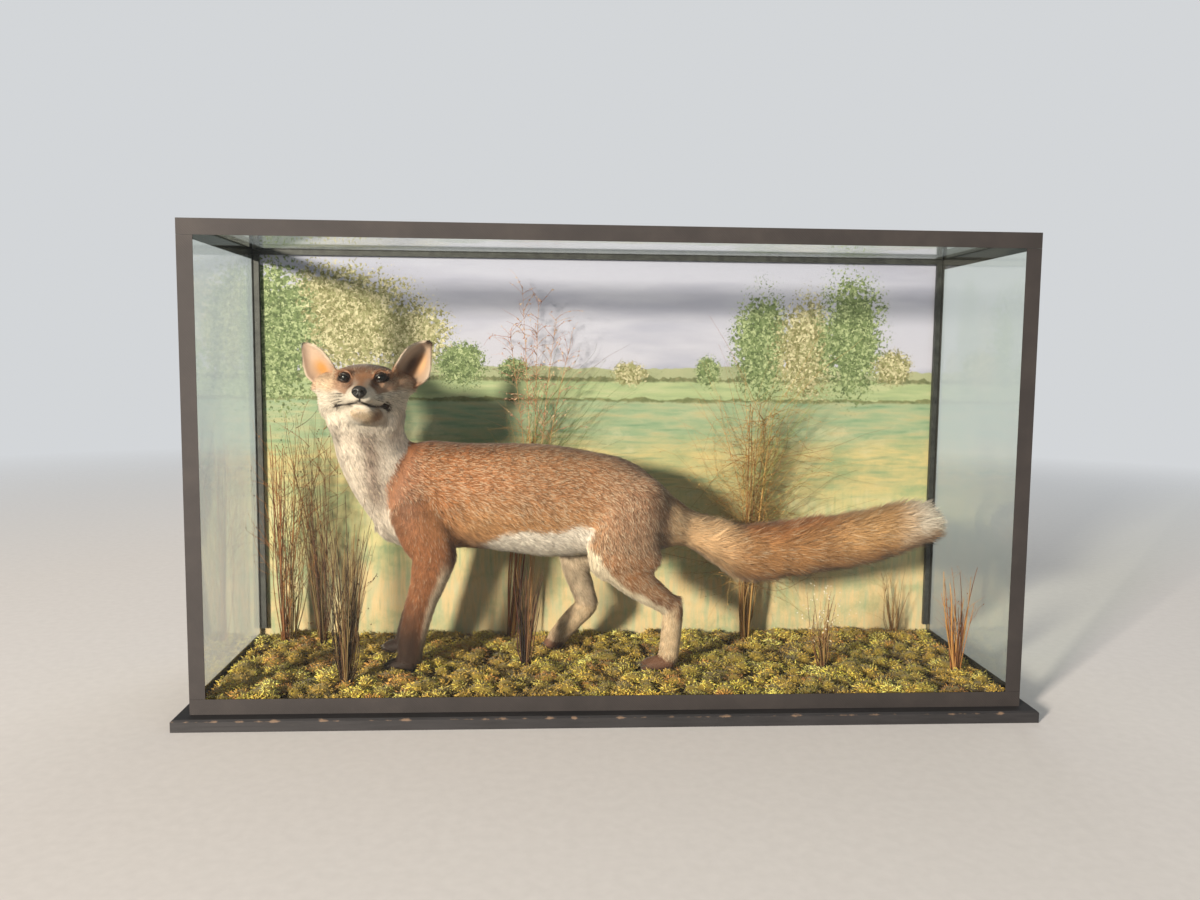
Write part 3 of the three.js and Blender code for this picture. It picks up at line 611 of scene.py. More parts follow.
# ---- Dried grasses ----
# Bunches of dried grass, sedge, reed and fine stems with seed heads, tied at the foot, pushed into the
# floor through the moss and left to fan out. They have faded to straw, rust and dark brown.
def tube_mesh(name, paths, radii, sides, flat=1.0):
    """Closed tapered tubes along runs of points, all of one length, as one mesh."""
    paths, radii = np.asarray(paths, float), np.asarray(radii, float)
    way = np.gradient(paths, axis=1)
    way /= np.linalg.norm(way, axis=2)[..., None] + 1e-12
    general = paths[:, -1] - paths[:, 0]
    general /= np.linalg.norm(general, axis=1)[:, None] + 1e-12
    helper = np.where(abs(general[:, 2:]) < 0.8, [[0, 0, 1.0]], [[1.0, 0, 0]])
    one = np.cross(way, helper[:, None])
    one /= np.linalg.norm(one, axis=2)[..., None] + 1e-12
    two = np.cross(way, one)
    angles = np.linspace(0, 2 * math.pi, sides, endpoint=False)
    ring = np.cos(angles)[:, None] * one[:, :, None] + flat * np.sin(angles)[:, None] * two[:, :, None]
    rings = paths[:, :, None] + radii[..., None, None] * ring
    amount, steps = paths.shape[:2]
    own = steps * sides
    points = np.concatenate([rings.reshape(amount, own, 3), paths[:, :1], paths[:, -1:]], 1)
    here = np.arange(sides)
    following = (here + 1) % sides
    quads = np.concatenate(
        [
            np.stack([row * sides + here, row * sides + following, (row + 1) * sides + following,
                      (row + 1) * sides + here], 1)
            for row in range(steps - 1)
        ]
    )
    last = (steps - 1) * sides
    ends = np.concatenate(
        [
            np.stack([following, here, np.full(sides, own)], 1),
            np.stack([last + here, last + following, np.full(sides, own + 1)], 1),
        ]
    )
    shift = (np.arange(amount) * (own + 2))[:, None]
    corners = np.concatenate([quads.reshape(-1), ends.reshape(-1)])[None] + shift
    sizes = np.tile([4] * len(quads) + [3] * len(ends), amount)
    piece = mesh_from(name, points.reshape(-1, 3), corners.reshape(-1), sizes)
    piece.data.shade_smooth()
    return piece


straw, shader = start_material("dried_grass_stems", Roughness=0.68, Specular_IOR_Level=0.3)
paint = add(straw, "VertexColor", layer_name="straw")
place = add(straw, "TexCoord")
along = stretched(straw, place, (900, 900, 60))
fibre = noise(straw, along, 1, 3)
streaks = add(straw, "MapRange", {"To Min": 0.7, "To Max": 1.25}, {"Value": fibre})
tone = add(straw, "VectorMath", {}, {0: paint, 1: streaks}, operation="MULTIPLY")
join(straw, tone, "Vector", shader, "Base Color")

# Bunches: foot x and y, number of stems, height from and to, half spread at the top, lean of the top
# in x and y, waviness, thickness and tones, all in millimetres.
TUFTS = {
    "grass_tuft_1": [
        (-429, -118, 44, 130, 285, 54, (2, 0), 7, 1.05, ["#5e4028", "#38251a", "#8d754a", "#74532f"]),
        (-429, -118, 30, 180, 330, 66, (-6, 0), 12, 0.85, ["#4a3220", "#7b6038", "#2f2119"]),
    ],
    "grass_tuft_2": [
        (-588, 128, 24, 220, 440, 44, (6, 0), 10, 1.5, ["#8a5632", "#6d4229", "#9a6d3c"]),
        (-574, 122, 22, 180, 470, 60, (14, 0), 18, 1.0, ["#6f5a34", "#4b3a26", "#7d6238"]),
        (-520, 126, 30, 240, 450, 46, (-14, 0), 16, 1.1, ["#4f3524", "#6a4429", "#836a42"]),
    ],
    "grass_tuft_3": [
        (-141, -22, 50, 100, 185, 27, (4, 0), 5, 1.15, ["#3f251f", "#5c3526", "#7d5a3a", "#2a1c18"]),
    ],
    "grass_tuft_4": [
        (-174, 155, 14, 250, 420, 18, (34, 0), 9, 2.0, ["#a5683c", "#b5824a", "#8d5230"]),
    ],
    "grass_tuft_5": [
        (272, 132, 24, 160, 500, 40, (26, 0), 12, 1.9, ["#9c7240", "#ae874f", "#835b34"]),
    ],
    "grass_tuft_6": [
        (370, -52, 30, 70, 150, 30, (-4, 0), 7, 1.0, ["#7d5331", "#5e3c25", "#9b7a4a"]),
    ],
    "grass_tuft_7": [
        (566, 148, 22, 60, 140, 32, (0, 0), 7, 1.0, ["#8d6a3c", "#6f5130"]),
    ],
    "grass_tuft_8": [
        (592, -82, 30, 80, 195, 36, (-2, 0), 8, 1.5, ["#95602f", "#ab7c44", "#6f4226"]),
    ],
}
inner_left, inner_right = -0.6425, 0.6425
inner_front, inner_back = -0.186, 0.181
inner_low, inner_high = 0.03, 0.752
STEM_FOOT = 36
DEPTH_SHARE = 0.45


def stems_of(bunch, chance, steps=12):
    """Runs of points, thickness and tone for the stems of one bunch."""
    x, y, amount, low, high, half, lean, wave, thick, tones = bunch
    share = np.linspace(0, 1, steps)
    runs, radii, colours = [], [], []
    for number in range(amount):
        height = chance.uniform(low, high)
        turn = chance.uniform(0, 2 * math.pi)
        out = half * math.sqrt(chance.uniform(0, 1)) * height / high
        foot_out = chance.uniform(0, 8)
        end_x = lean[0] * height / high + out * math.cos(turn)
        end_y = lean[1] + out * math.sin(turn) * DEPTH_SHARE
        sway_x = wave * chance.normal(0, 0.5) * np.sin(share * math.pi * chance.uniform(0.8, 1.9))
        sway_y = wave * chance.normal(0, 0.3) * np.sin(share * math.pi * chance.uniform(0.8, 1.9))
        px = x + foot_out * math.cos(turn) + end_x * share**1.25 + sway_x
        py = y + foot_out * math.sin(turn) + end_y * share**1.25 + sway_y
        pz = STEM_FOOT + height * share * (1 - 0.04 * share**3)
        runs.append(np.stack([px, py, pz], 1) / 1000)
        radii.append(thick * chance.uniform(0.6, 1.2) * (1 - 0.72 * share) / 1000)
        tone = np.array(linear(tones[chance.integers(len(tones))])) * chance.uniform(0.7, 1.25)
        colours.append(np.tile(tone, (steps, 1)) * (0.75 + 0.45 * share[:, None]))
    return runs, radii, colours


def side_runs(runs, chance, per_stem, low, high, reach, thick, curl, droop, tones, steps=9, rise=(0.5, 1.1)):
    """Twigs, leaves or filaments that leave the stems between two shares of their length."""
    share = np.linspace(0, 1, steps)[:, None]
    made, radii, colours = [], [], []
    for run in runs:
        for _ in range(chance.poisson(per_stem)):
            at = chance.uniform(low, high) * (len(run) - 1)
            index = min(int(at), len(run) - 2)
            start = run[index] + (run[index + 1] - run[index]) * (at - index)
            up_way = run[index + 1] - run[index]
            up_way = unit_way(up_way)
            turn = chance.uniform(0, 2 * math.pi)
            out = np.array([math.cos(turn), 0.5 * math.sin(turn), 0])
            way = out * chance.uniform(0.4, 1.1) + up_way * chance.uniform(*rise)
            way = unit_way(way)
            length = reach * chance.uniform(0.5, 1.2) / 1000
            bend = chance.normal(0, curl, 3) * [1, 0.5, 0.7] - np.array([0, 0, droop])
            wiggle = np.sin(share * chance.uniform(4, 9) + turn) * chance.normal(0, curl * 0.12, 3)
            made.append(start + length * (way * share + bend * share**2 * 0.6 + wiggle * share))
            radii.append(thick * chance.uniform(0.6, 1.2) * (1 - 0.7 * share[:, 0]) / 1000)
            tone = np.array(linear(tones[chance.integers(len(tones))])) * chance.uniform(0.75, 1.25)
            colours.append(np.tile(tone, (steps, 1)))
    return made, radii, colours


def seeds_on(runs, chance, share_with, low, high, per_stem, size, stretch, tones):
    """Small seeds or florets along the ends of stems: runs of points, thickness and tones."""
    made, radii, colours = [], [], []
    share = np.linspace(0, 1, 5)
    belly = np.sin(np.clip(share, 0.04, 0.96) * math.pi) ** 0.7
    for run in runs:
        if chance.uniform(0, 1) > share_with:
            continue
        for _ in range(max(1, chance.poisson(per_stem))):
            at = chance.uniform(low, high) * (len(run) - 1)
            index = min(int(at), len(run) - 2)
            start = run[index] + (run[index + 1] - run[index]) * (at - index)
            way = run[index + 1] - run[index]
            way = way / (np.linalg.norm(way) + 1e-9) + chance.normal(0, 0.55, 3)
            way = unit_way(way)
            length = size * stretch * chance.uniform(0.7, 1.3) / 1000
            made.append(start + way * length * share[:, None])
            radii.append(size * 0.5 * chance.uniform(0.7, 1.2) * belly / 1000)
            tone = np.array(linear(tones[chance.integers(len(tones))])) * chance.uniform(0.75, 1.25)
            colours.append(np.tile(tone, (5, 1)))
    return made, radii, colours


def kept_inside(points):
    """Stems press against the panes and the back board instead of passing through them."""
    x = np.clip(points[..., 0], inner_left, inner_right)
    y = np.clip(points[..., 1], inner_front, inner_back)
    z = np.clip(points[..., 2], inner_low, inner_high)
    return np.stack([x, y, z], -1)


def made_one(parts, name):
    """Joins several objects, each with its place in its mesh, into one with no material."""
    bpy.ops.object.select_all(action="DESELECT")
    for part in parts:
        part.select_set(True)
    bpy.context.view_layer.objects.active = parts[0]
    bpy.ops.object.transform_apply(location=True, rotation=True, scale=True)
    bpy.ops.object.join()
    piece = bpy.context.object
    piece.name = piece.data.name = name
    piece.data.materials.clear()
    return piece


def bunch_mesh(name, node, groups, sides=(5, 3, 5)):
    """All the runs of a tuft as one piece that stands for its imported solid."""
    parts = []
    for (runs, radii, colours), side_count in zip(groups, sides):
        if not len(runs):
            continue
        part = tube_mesh(name + "_part", kept_inside(np.array(runs)), np.array(radii), side_count)
        amount, steps = np.array(runs).shape[:2]
        tones = np.array(colours)
        ring_tones = np.repeat(tones, side_count, axis=1)
        tones = np.concatenate([ring_tones, tones[:, :1], tones[:, -1:]], 1)
        put_colours(part, "straw", tones.reshape(-1, 3))
        parts.append(part)
    piece = made_one(parts, name)
    piece.data.materials.append(straw)
    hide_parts(node)
    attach(piece, "root")


def gathered(bunches, chance, steps=12):
    """The stems of several bunches in one list each of runs, thickness and tones."""
    made = [stems_of(bunch, chance, steps) for bunch in bunches]
    return tuple(sum((list(part[k]) for part in made), []) for k in range(3))


NOTHING = ([], [], [])


def plain_bunch(name, number, twig_shape, seed_shape=None):
    """A bunch of stems with twigs and, where a shape is given, seeds on the twigs."""
    node = f"grass_tuft_{number}"
    chance = np.random.default_rng(40 + number)
    stems = gathered(TUFTS[node], chance)
    twigs = side_runs(stems[0], chance, *twig_shape)
    seeds = seeds_on(twigs[0], chance, *seed_shape) if seed_shape else NOTHING
    bunch_mesh(name, node, [stems, twigs, seeds])


# 1: dark fine sedge with small dark seeds.
plain_bunch(
    "sedge_front_left", 1, (0.7, 0.35, 0.9, 42, 0.32, 0.35, 0.1, ["#6b4a2c", "#8c7446"]),
    (0.6, 0.6, 1.0, 2.0, 1.9, 1.3, ["#3a2418", "#543420"]),
)
# 2: rust-red stems with branching twigs, and brown stems that reach up behind the neck.
plain_bunch(
    "rust_stems_back_left", 2,
    (2.6, 0.3, 0.98, 84, 0.6, 0.45, -0.05, ["#7a4c2c", "#8f6038", "#4c3a26"]),
    (0.45, 0.5, 1.0, 2.5, 2.2, 1.2, ["#5b3a20", "#3f2a1a", "#80582e"]),
)
# 3: a short dark bunch below the belly.
plain_bunch("dark_bunch_middle", 3, (0.4, 0.4, 0.9, 26, 0.3, 0.3, 0.0, ["#5a3a2a", "#7d5c3c"]))

# 4: reeds behind the back, with arching plumes above and fine green filaments to the right.
chance = np.random.default_rng(44)
stems = gathered(TUFTS["grass_tuft_4"], chance)
share = np.linspace(0, 1, 12)
for height, reach_x in ((700, -8), (672, 22), (640, 55), (610, -30), (590, 80)):
    px = -140 + reach_x * share**2 + 6 * np.sin(share * 4)
    py = 150 - 14 * share
    pz = STEM_FOOT + (height - STEM_FOOT) * share
    stems[0].append(np.stack([px, py, pz], 1) / 1000)
    stems[1].append(1.0 * (1 - 0.75 * share) / 1000)
    stems[2].append(np.tile(linear("#b98a5a"), (12, 1)))
plumes = side_runs(
    stems[0][-5:], chance, 40, 0.66, 1.0, 54, 0.5, 0.4, 0.55, ["#b88468", "#9a644c", "#c49a76"]
)
tangle = side_runs(
    stems[0][:12], chance, 14, 0.66, 1.0, 110, 0.42, 1.1, 0.2, ["#a87c48", "#8c6236", "#bb985c"],
    rise=(-0.2, 0.9),
)
filaments = side_runs(
    stems[0][:12], chance, 7, 0.62, 0.98, 270, 0.42, 0.2, 0.25, ["#6d7a40", "#88904f", "#55642f"]
)
for run in filaments[0]:
    swing = abs(run[:, 0] - run[0, 0]) * 0.9
    run[:, 0] = run[0, 0] + swing
    run[:, 1] = run[0, 1] + (run[:, 1] - run[0, 1]) * 0.15
twigs = tuple(list(plumes[k]) + list(tangle[k]) + list(filaments[k]) for k in range(3))
seeds = seeds_on(plumes[0], chance, 0.9, 0.35, 1.0, 2.2, 1.7, 2.6, ["#c49a84", "#a87a62", "#d8b896"])
bunch_mesh("reeds_behind_back", "grass_tuft_4", [stems, twigs, seeds])

# 5: thick straw stems below the brush and a dense curled mass above it.
chance = np.random.default_rng(45)
stems = gathered(TUFTS["grass_tuft_5"], chance)
curls = side_runs(
    stems[0], chance, 24, 0.42, 1.0, 84, 0.5, 1.5, 0.35, ["#a8854c", "#93703c", "#bc9c62", "#7f5c34"],
    rise=(-0.3, 0.9),
)
spikes = side_runs(stems[0], chance, 3.0, 0.7, 1.0, 190, 0.5, 0.25, -0.25, ["#b88d56", "#9e6b40"])
filaments = side_runs(stems[0], chance, 3.0, 0.6, 1.0, 210, 0.34, 0.25, 0.15, ["#8d9652", "#a0a863"])
for run in filaments[0]:
    run[:, 0] = run[0, 0] + abs(run[:, 0] - run[0, 0])
    run[:, 1] = run[0, 1] + (run[:, 1] - run[0, 1]) * 0.2
twigs = tuple(list(curls[k]) + list(spikes[k]) + list(filaments[k]) for k in range(3))
seeds = seeds_on(curls[0], chance, 0.35, 0.5, 1.0, 2.0, 1.5, 2.0, ["#b98443", "#8f5d30", "#d0a662"])
bunch_mesh("curled_straw_behind_tail", "grass_tuft_5", [stems, twigs, seeds])

# 6 to 8: small bunches on the right; the first carries tiny white seed heads.
plain_bunch(
    "white_seeds_front", 6, (2.2, 0.5, 1.0, 38, 0.25, 0.3, -0.1, ["#a98c62", "#c3a878"]),
    (0.9, 0.8, 1.0, 1.6, 2.3, 1.0, ["#e4dccb", "#cfc2a8"]),
)
plain_bunch("straw_back_right", 7, (1.4, 0.4, 1.0, 40, 0.3, 0.3, 0.0, ["#9a7c48", "#b99a62"]))
plain_bunch(
    "rust_stems_front_right", 8, (1.2, 0.4, 1.0, 40, 0.4, 0.3, 0.0, ["#a0602f", "#b98347"]),
    (0.3, 0.5, 1.0, 1.5, 2.0, 1.4, ["#7a4a28", "#96663a"]),
)

# ---- Fox: skin ----
# The tanned skin of a red fox, pulled over a carved form and dried hard. It is one skin from nose to
# tail: body, neck, head, ears, legs and tail run into each other with no seam that shows.
HEAD_TURN = math.radians(5)
HEAD_FORWARD = np.array([math.sin(HEAD_TURN), -math.cos(HEAD_TURN), 0])
HEAD_LEFT = np.array([math.cos(HEAD_TURN), math.sin(HEAD_TURN), 0])
BETWEEN_EYES = np.array([-0.404, -0.072, 0.533])
MIDDLE_Y = 10


def on_head(forward, left, up):
    """A point of the head, given in millimetres forward, to the fox's left and up from the eyes."""
    return BETWEEN_EYES + (forward * HEAD_FORWARD + left * HEAD_LEFT + np.array([0, 0, up])) / 1000


def from_head(points):
    """Millimetres forward, left and up from the point between the eyes."""
    away = (np.asarray(points) - BETWEEN_EYES) * 1000
    return away @ HEAD_FORWARD, away @ HEAD_LEFT, away[..., 2]


def fade(value, low, high):
    """1 at low, 0 at high and soft between."""
    return 1 - ramp(value, low, high)


def hump(value, middle, width):
    """1 at the middle, and next to nothing from two widths away."""
    return np.exp(-(((value - middle) / width) ** 2))


def spline(table, count):
    """Rows of numbers drawn out to a smooth run of the given count of rows."""
    table = np.asarray(table, float)
    spans = len(table) - 1
    padded = np.vstack([2 * table[0] - table[1], table, 2 * table[-1] - table[-2]])
    share = np.linspace(0, spans, count)
    index = np.minimum(share.astype(int), spans - 1)
    t = (share - index)[:, None]
    before, start, end, after = (padded[index + step] for step in range(4))
    return 0.5 * (
        2 * start
        + (end - before) * t
        + (2 * before - 5 * start + 4 * end - after) * t * t
        + (3 * start - before - 3 * end + after) * t**3
    )


def ring_mesh(name, rings, start_pole, end_pole):
    """A closed skin over a run of rings, each the same count of points, with a pole at each end."""
    count, sides = rings.shape[:2]
    points = np.vstack([rings.reshape(-1, 3), [start_pole, end_pole]])
    here = np.arange(sides)
    following = (here + 1) % sides
    faces = []
    for row in range(count - 1):
        low = row * sides
        faces.append(np.stack([low + here, low + following, low + sides + following], 1))
        faces.append(np.stack([low + here, low + sides + following, low + sides + here], 1))
    last = (count - 1) * sides
    poles = count * sides
    faces.append(np.stack([following, here, np.full(sides, poles)], 1))
    faces.append(np.stack([last + here, last + following, np.full(sides, poles + 1)], 1))
    return mesh_from(name, points, np.vstack(faces))


def head_form(name, stations, sides, squareness, shift=0):
    """A smooth form over stations of the head: forward, top, underside and half width."""
    rings = []
    angles = np.linspace(0, 2 * math.pi, sides, endpoint=False)
    for forward, top, under, half_width in spline(stations, 60):
        sideways = np.sign(np.sin(angles)) * abs(np.sin(angles)) ** (2 / squareness) * half_width
        upright = np.sign(np.cos(angles)) * abs(np.cos(angles)) ** (2 / squareness)
        upright = (top + under) / 2 + upright * (top - under) / 2
        rings.append([on_head(forward, s + shift, u) for s, u in zip(sideways, upright)])
    first, last = stations[0], stations[-1]
    start = on_head(first[0] - 6, shift, (first[1] + first[2]) / 2)
    end = on_head(last[0] + 4, shift, (last[1] + last[2]) / 2)
    return ring_mesh(name, np.array(rings), start, end)


def all_points(mesh):
    """The points of a mesh as an array."""
    points = np.zeros(len(mesh.vertices) * 3, np.float32)
    mesh.vertices.foreach_get("co", points)
    return points.reshape(-1, 3).astype(float)


def all_normals(mesh):
    """The point normals of a mesh as an array."""
    normals = np.zeros(len(mesh.vertices) * 3, np.float32)
    mesh.vertex_normals.foreach_get("vector", normals)
    return normals.reshape(-1, 3).astype(float)


def put_points(mesh, points):
    """Moves the points of a mesh."""
    mesh.vertices.foreach_set("co", np.asarray(points, np.float32).reshape(-1))
    mesh.update()


FLESH = [
    name for name in nodes if name.startswith("fox_") and "eye" not in name and "nose" not in name
]


def limb_form(name, stations, sides=40, upright=False, squareness=2.0):
    """A smooth form through stations: x, y, z, radius in the bend's plane, radius sideways (mm)."""
    rows = spline(stations, 8 * len(stations)) / 1000
    way = np.gradient(rows[:, :3], axis=0)
    way = unit_way(way)
    if upright:
        way = np.tile([1.0, 0, 0], (len(rows), 1))
    sideways = np.array([0, 1.0, 0]) - way * way[:, 1:2]
    sideways = unit_way(sideways)
    ahead = np.cross(sideways, way)
    angles = np.linspace(0, 2 * math.pi, sides, endpoint=False)[:, None]
    round_one = np.sign(np.cos(angles)) * abs(np.cos(angles)) ** (2 / squareness)
    round_two = np.sign(np.sin(angles)) * abs(np.sin(angles)) ** (2 / squareness)
    rings = []
    for end, sign in ((0, -1), (-1, 1)):
        cap = []
        for angle in (70, 45, 20):
            shrink, slip = math.cos(math.radians(angle)), math.sin(math.radians(angle))
            row = rows[end]
            middle = row[:3] + sign * way[end] * slip * 0.55 * min(row[3], row[4])
            ring = round_one * row[3] * shrink * ahead[end] + round_two * row[4] * shrink * sideways[end]
            cap.append(middle + ring)
        rings.append(cap if sign < 0 else cap[::-1])
    run = [
        row[:3] + round_one * row[3] * front + round_two * row[4] * side
        for row, front, side in zip(rows, ahead, sideways)
    ]
    run = np.array(rings[0] + run + rings[1])
    return ring_mesh(name, run, run[0].mean(0), run[-1].mean(0))


# Body, neck and tail as stations: x, y, z, radius in the plane of the bend, radius sideways.
BACK_LINE = [
    (-402, 296, 272, 20), (-390, 332, 257, 38), (-368, 392, 246, 56), (-330, 428, 233, 68),
    (-262, 424, 238, 71), (-205, 423, 235, 76), (-150, 424, 227, 78), (-96, 421, 222, 75),
    (-44, 411, 224, 70), (6, 402, 226, 69), (50, 386, 230, 66), (88, 358, 232, 57), (116, 330, 238, 44),
]
TAIL_LINE = [
    (70, 348, 262, 30), (98, 340, 248, 36), (134, 319, 236, 37), (178, 302, 208, 42),
    (222, 285, 182, 46), (266, 284, 177, 48), (318, 290, 184, 48), (376, 296, 191, 48),
    (428, 304, 200, 47), (478, 314, 211, 46), (516, 322, 224, 42), (546, 320, 237, 34), (568, 306, 249, 22),
]
NECK = [
    (-334, 10, 312, 71, 57), (-363, 10, 340, 69, 59), (-387, 6, 376, 66, 61), (-403, 0, 414, 64, 61),
    (-409, -8, 450, 64, 62), (-405, -20, 484, 64, 60), (-400, -26, 512, 50, 54),
]


def height_on(line, x, column):
    """The top (column 1) or the underside (column 2) of the back line or the tail line at x."""
    return np.interp(x, [row[0] for row in line], [row[column] for row in line])


forms = []
for name, line, squareness in (("trunk", BACK_LINE, 2.15), ("tail", TAIL_LINE, 2.0)):
    stations = [(x, MIDDLE_Y, (top + low) / 2, (top - low) / 2, half) for x, top, low, half in line]
    forms.append(limb_form(name + "_form", stations, 56, True, squareness))
forms.append(limb_form("neck_form", NECK, 56))

# Legs: the left side faces the front of the case. The left hind leg is stretched back.
LEGS = [
    [
        (-338, -16, 384, 30, 30), (-334, -28, 336, 47, 34), (-312, -38, 280, 47, 34),
        (-297, -42, 240, 41, 30),
        (-302, -44, 204, 33, 26), (-313, -45, 168, 27.5, 22), (-324, -45, 130, 25, 19),
        (-333, -45, 92, 23.5, 17.5), (-338, -44, 58, 22, 17),
    ],
    [
        (-336, 36, 384, 30, 30), (-331, 48, 336, 46, 34), (-314, 57, 280, 44, 34), (-300, 61, 238, 34, 28),
        (-308, 64, 200, 30, 25), (-323, 65, 160, 26, 21), (-338, 65, 122, 23, 18),
        (-350, 65, 88, 21.5, 16.5), (-359, 65, 58, 20, 16),
    ],
    [
        (64, -14, 352, 40, 28), (50, -28, 324, 54, 34), (26, -40, 280, 66, 36), (18, -46, 240, 60, 32),
        (30, -48, 212, 44, 27),
    ],
    [
        (46, 34, 352, 40, 28), (34, 48, 322, 54, 34), (-2, 60, 276, 60, 35), (-34, 66, 236, 48, 30),
        (-46, 68, 212, 38, 27),
    ],
    [
        (8, -46, 246, 50, 30), (20, -48, 226, 46, 28), (46, -51, 194, 33, 24), (76, -53, 170, 25, 19),
        (101, -54, 153, 20, 16),
    ],
    [
        (-42, 67, 236, 42, 28), (-48, 68, 214, 38, 27), (-51, 70, 186, 27, 22), (-42, 71, 156, 23, 19),
        (-34, 72, 130, 21, 17),
    ],
    [
        (106, -54, 158, 17, 14), (108, -54, 144, 19, 15), (107, -54, 122, 19.5, 15),
        (105, -54, 92, 19, 15), (101, -54, 60, 18, 16),
    ],
    [
        (-30, 72, 128, 20, 15), (-38, 72, 116, 21.5, 16), (-54, 72, 99, 20.5, 16), (-71, 72, 80, 19.5, 16),
        (-88, 72, 58, 18, 16),
    ],
]
for leg in LEGS:
    forms.append(limb_form("leg_form", leg))
PAWS = [
    [(-330, -44, 52, 14, 17), (-345, -43, 51, 15, 19), (-362, -42, 48, 12, 18), (-371, -42, 46, 9, 13)],
    [(-352, 65, 52, 14, 17), (-367, 66, 51, 15, 19), (-384, 66, 48, 12, 18), (-394, 66, 46, 9, 13)],
    [(106, -54, 53, 13, 15), (88, -55, 52, 15, 18), (70, -55, 49, 12, 18), (60, -55, 46, 9, 13)],
    [(-80, 72, 54, 12, 15), (-90, 72, 53, 14, 17), (-99, 72, 50, 13, 17), (-105, 72, 47, 9, 13)],
]
for paw in PAWS:
    forms.append(limb_form("paw_form", paw))

# The head: forward of the eyes, top, underside and half width, from the back of the skull to the lip.
SKULL = [
    (-86, 4, -34, 26), (-74, 17, -54, 49), (-56, 22, -64, 63), (-36, 22, -66, 68),
    (-18, 19, -62, 63), (-3, 13, -57, 51), (11, 3, -51, 38), (26, -5, -46, 29),
    (42, -10, -43, 23.5), (56, -13, -41, 19.5), (64, -15, -39, 15),
]
JAW = [
    (-34, -40, -82, 46), (-10, -40, -80, 36), (12, -40, -75, 28), (30, -40, -69, 22), (42, -41, -65, 16),
    (50, -43, -60, 10),
]
JAW_LEFT = 7
forms.append(head_form("skull_form", SKULL, 64, 2.1))
forms.append(head_form("jaw_form", JAW, 48, 2, JAW_LEFT))


def egg_form(place, radii, segments, rings, turn=0):
    """An egg-shaped form, three radii in metres, added to the forms."""
    bpy.ops.mesh.primitive_uv_sphere_add(
        segments=segments, ring_count=rings, radius=1, location=place
    )
    egg = bpy.context.object
    egg.scale = radii
    egg.rotation_euler = (0, 0, turn)
    forms.append(egg)


# Rounded muscles and pads laid on the head: forward, left, right, up and three radii. The ruff of
# the right cheek is the fuller one.
HEAD_PADS = [
    (50, 10.5, 10.5, -30, 15, 11.5, 10.5),
    (57, 6, 6, -30, 9.5, 8.5, 9),
    (30, 16, 16, -32, 22, 13, 12),
    (-7, 27, 27, 6, 14, 13, 7),
    (-26, 34, 34, -24, 36, 30, 28),
    (41, 1, 5, -52, 13, 12, 8),
    (20, 24, 24, -35, 20, 15, 11),
    (-40, 55, 58, -17, 32, 26, 24),
    (-36, 47, 56, -44, 30, 23, 28),
    (-34, 38, 47, -68, 28, 23, 34),
    (4, 29, 29, 6, 13, 13, 8),
]
for forward, on_left, on_right, up, long, wide, high in HEAD_PADS:
    for left in (on_left, -on_right):
        sizes = (wide / 1000, long / 1000, high / 1000)
        egg_form(on_head(forward, left, up), sizes, 24, 16, HEAD_TURN)

# The buttocks and the points of the hocks: x, y, z and three radii.
for spot in (
    (60, -32, 254, 30, 26, 30), (54, 46, 258, 30, 26, 30),
    (112, -54, 160, 12, 10, 12), (-22, 72, 130, 10, 9, 12),
    (104, 10, 284, 34, 26, 38), (-343, 8, 303, 56, 46, 57), (60, -48, 236, 31, 22, 30),
):
    egg_form([v / 1000 for v in spot[:3]], [v / 1000 for v in spot[3:]], 32, 20)


def on_toes(ahead, rise):
    """A spot on each toe, four to a paw in a curved row, from the paw's own box."""
    spots = []
    for paw in PAW_NAMES:
        low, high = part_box("fox_" + paw)
        width = high.y - low.y
        for across in (-0.33, -0.12, 0.12, 0.33):
            back = ahead + 0.022 * abs(across)
            spots.append((low.x + back, (low.y + high.y) / 2 + across * width, low.z + rise))
    return spots


for spot in on_toes(0.012, 0.0145):
    egg_form(spot, (0.0125, 0.0052, 0.0085), 16, 12)

# Ears: thin leaves, cupped at the root and opening towards the front, with the edges turned in.
EARS = {
    "right": dict(root=(-44, -51, -9), tip=(-58, -101, 54), half=27, tip_half=6, lean=-0.35, fold=0),
    "left": dict(root=(-44, 55, -11), tip=(-59, 103, 60), half=32, tip_half=9, lean=0.4, fold=0.35),
}
EAR_SHARES = (0, 0.12, 0.25, 0.4, 0.6, 0.8, 0.93, 1)
EAR_WIDTHS = (0.92, 0.98, 1.0, 0.95, 0.78, 0.50, 0.28, 0.13)


def ear_axes(shape):
    """An ear's root, length and direction, and the way that its hollow faces."""
    root, tip = on_head(*shape["root"]), on_head(*shape["tip"])
    length = np.linalg.norm(tip - root)
    axis = (tip - root) / length
    open_way = HEAD_FORWARD + shape["lean"] * HEAD_LEFT
    return root, length, axis, unit_way(open_way - axis * (open_way @ axis))


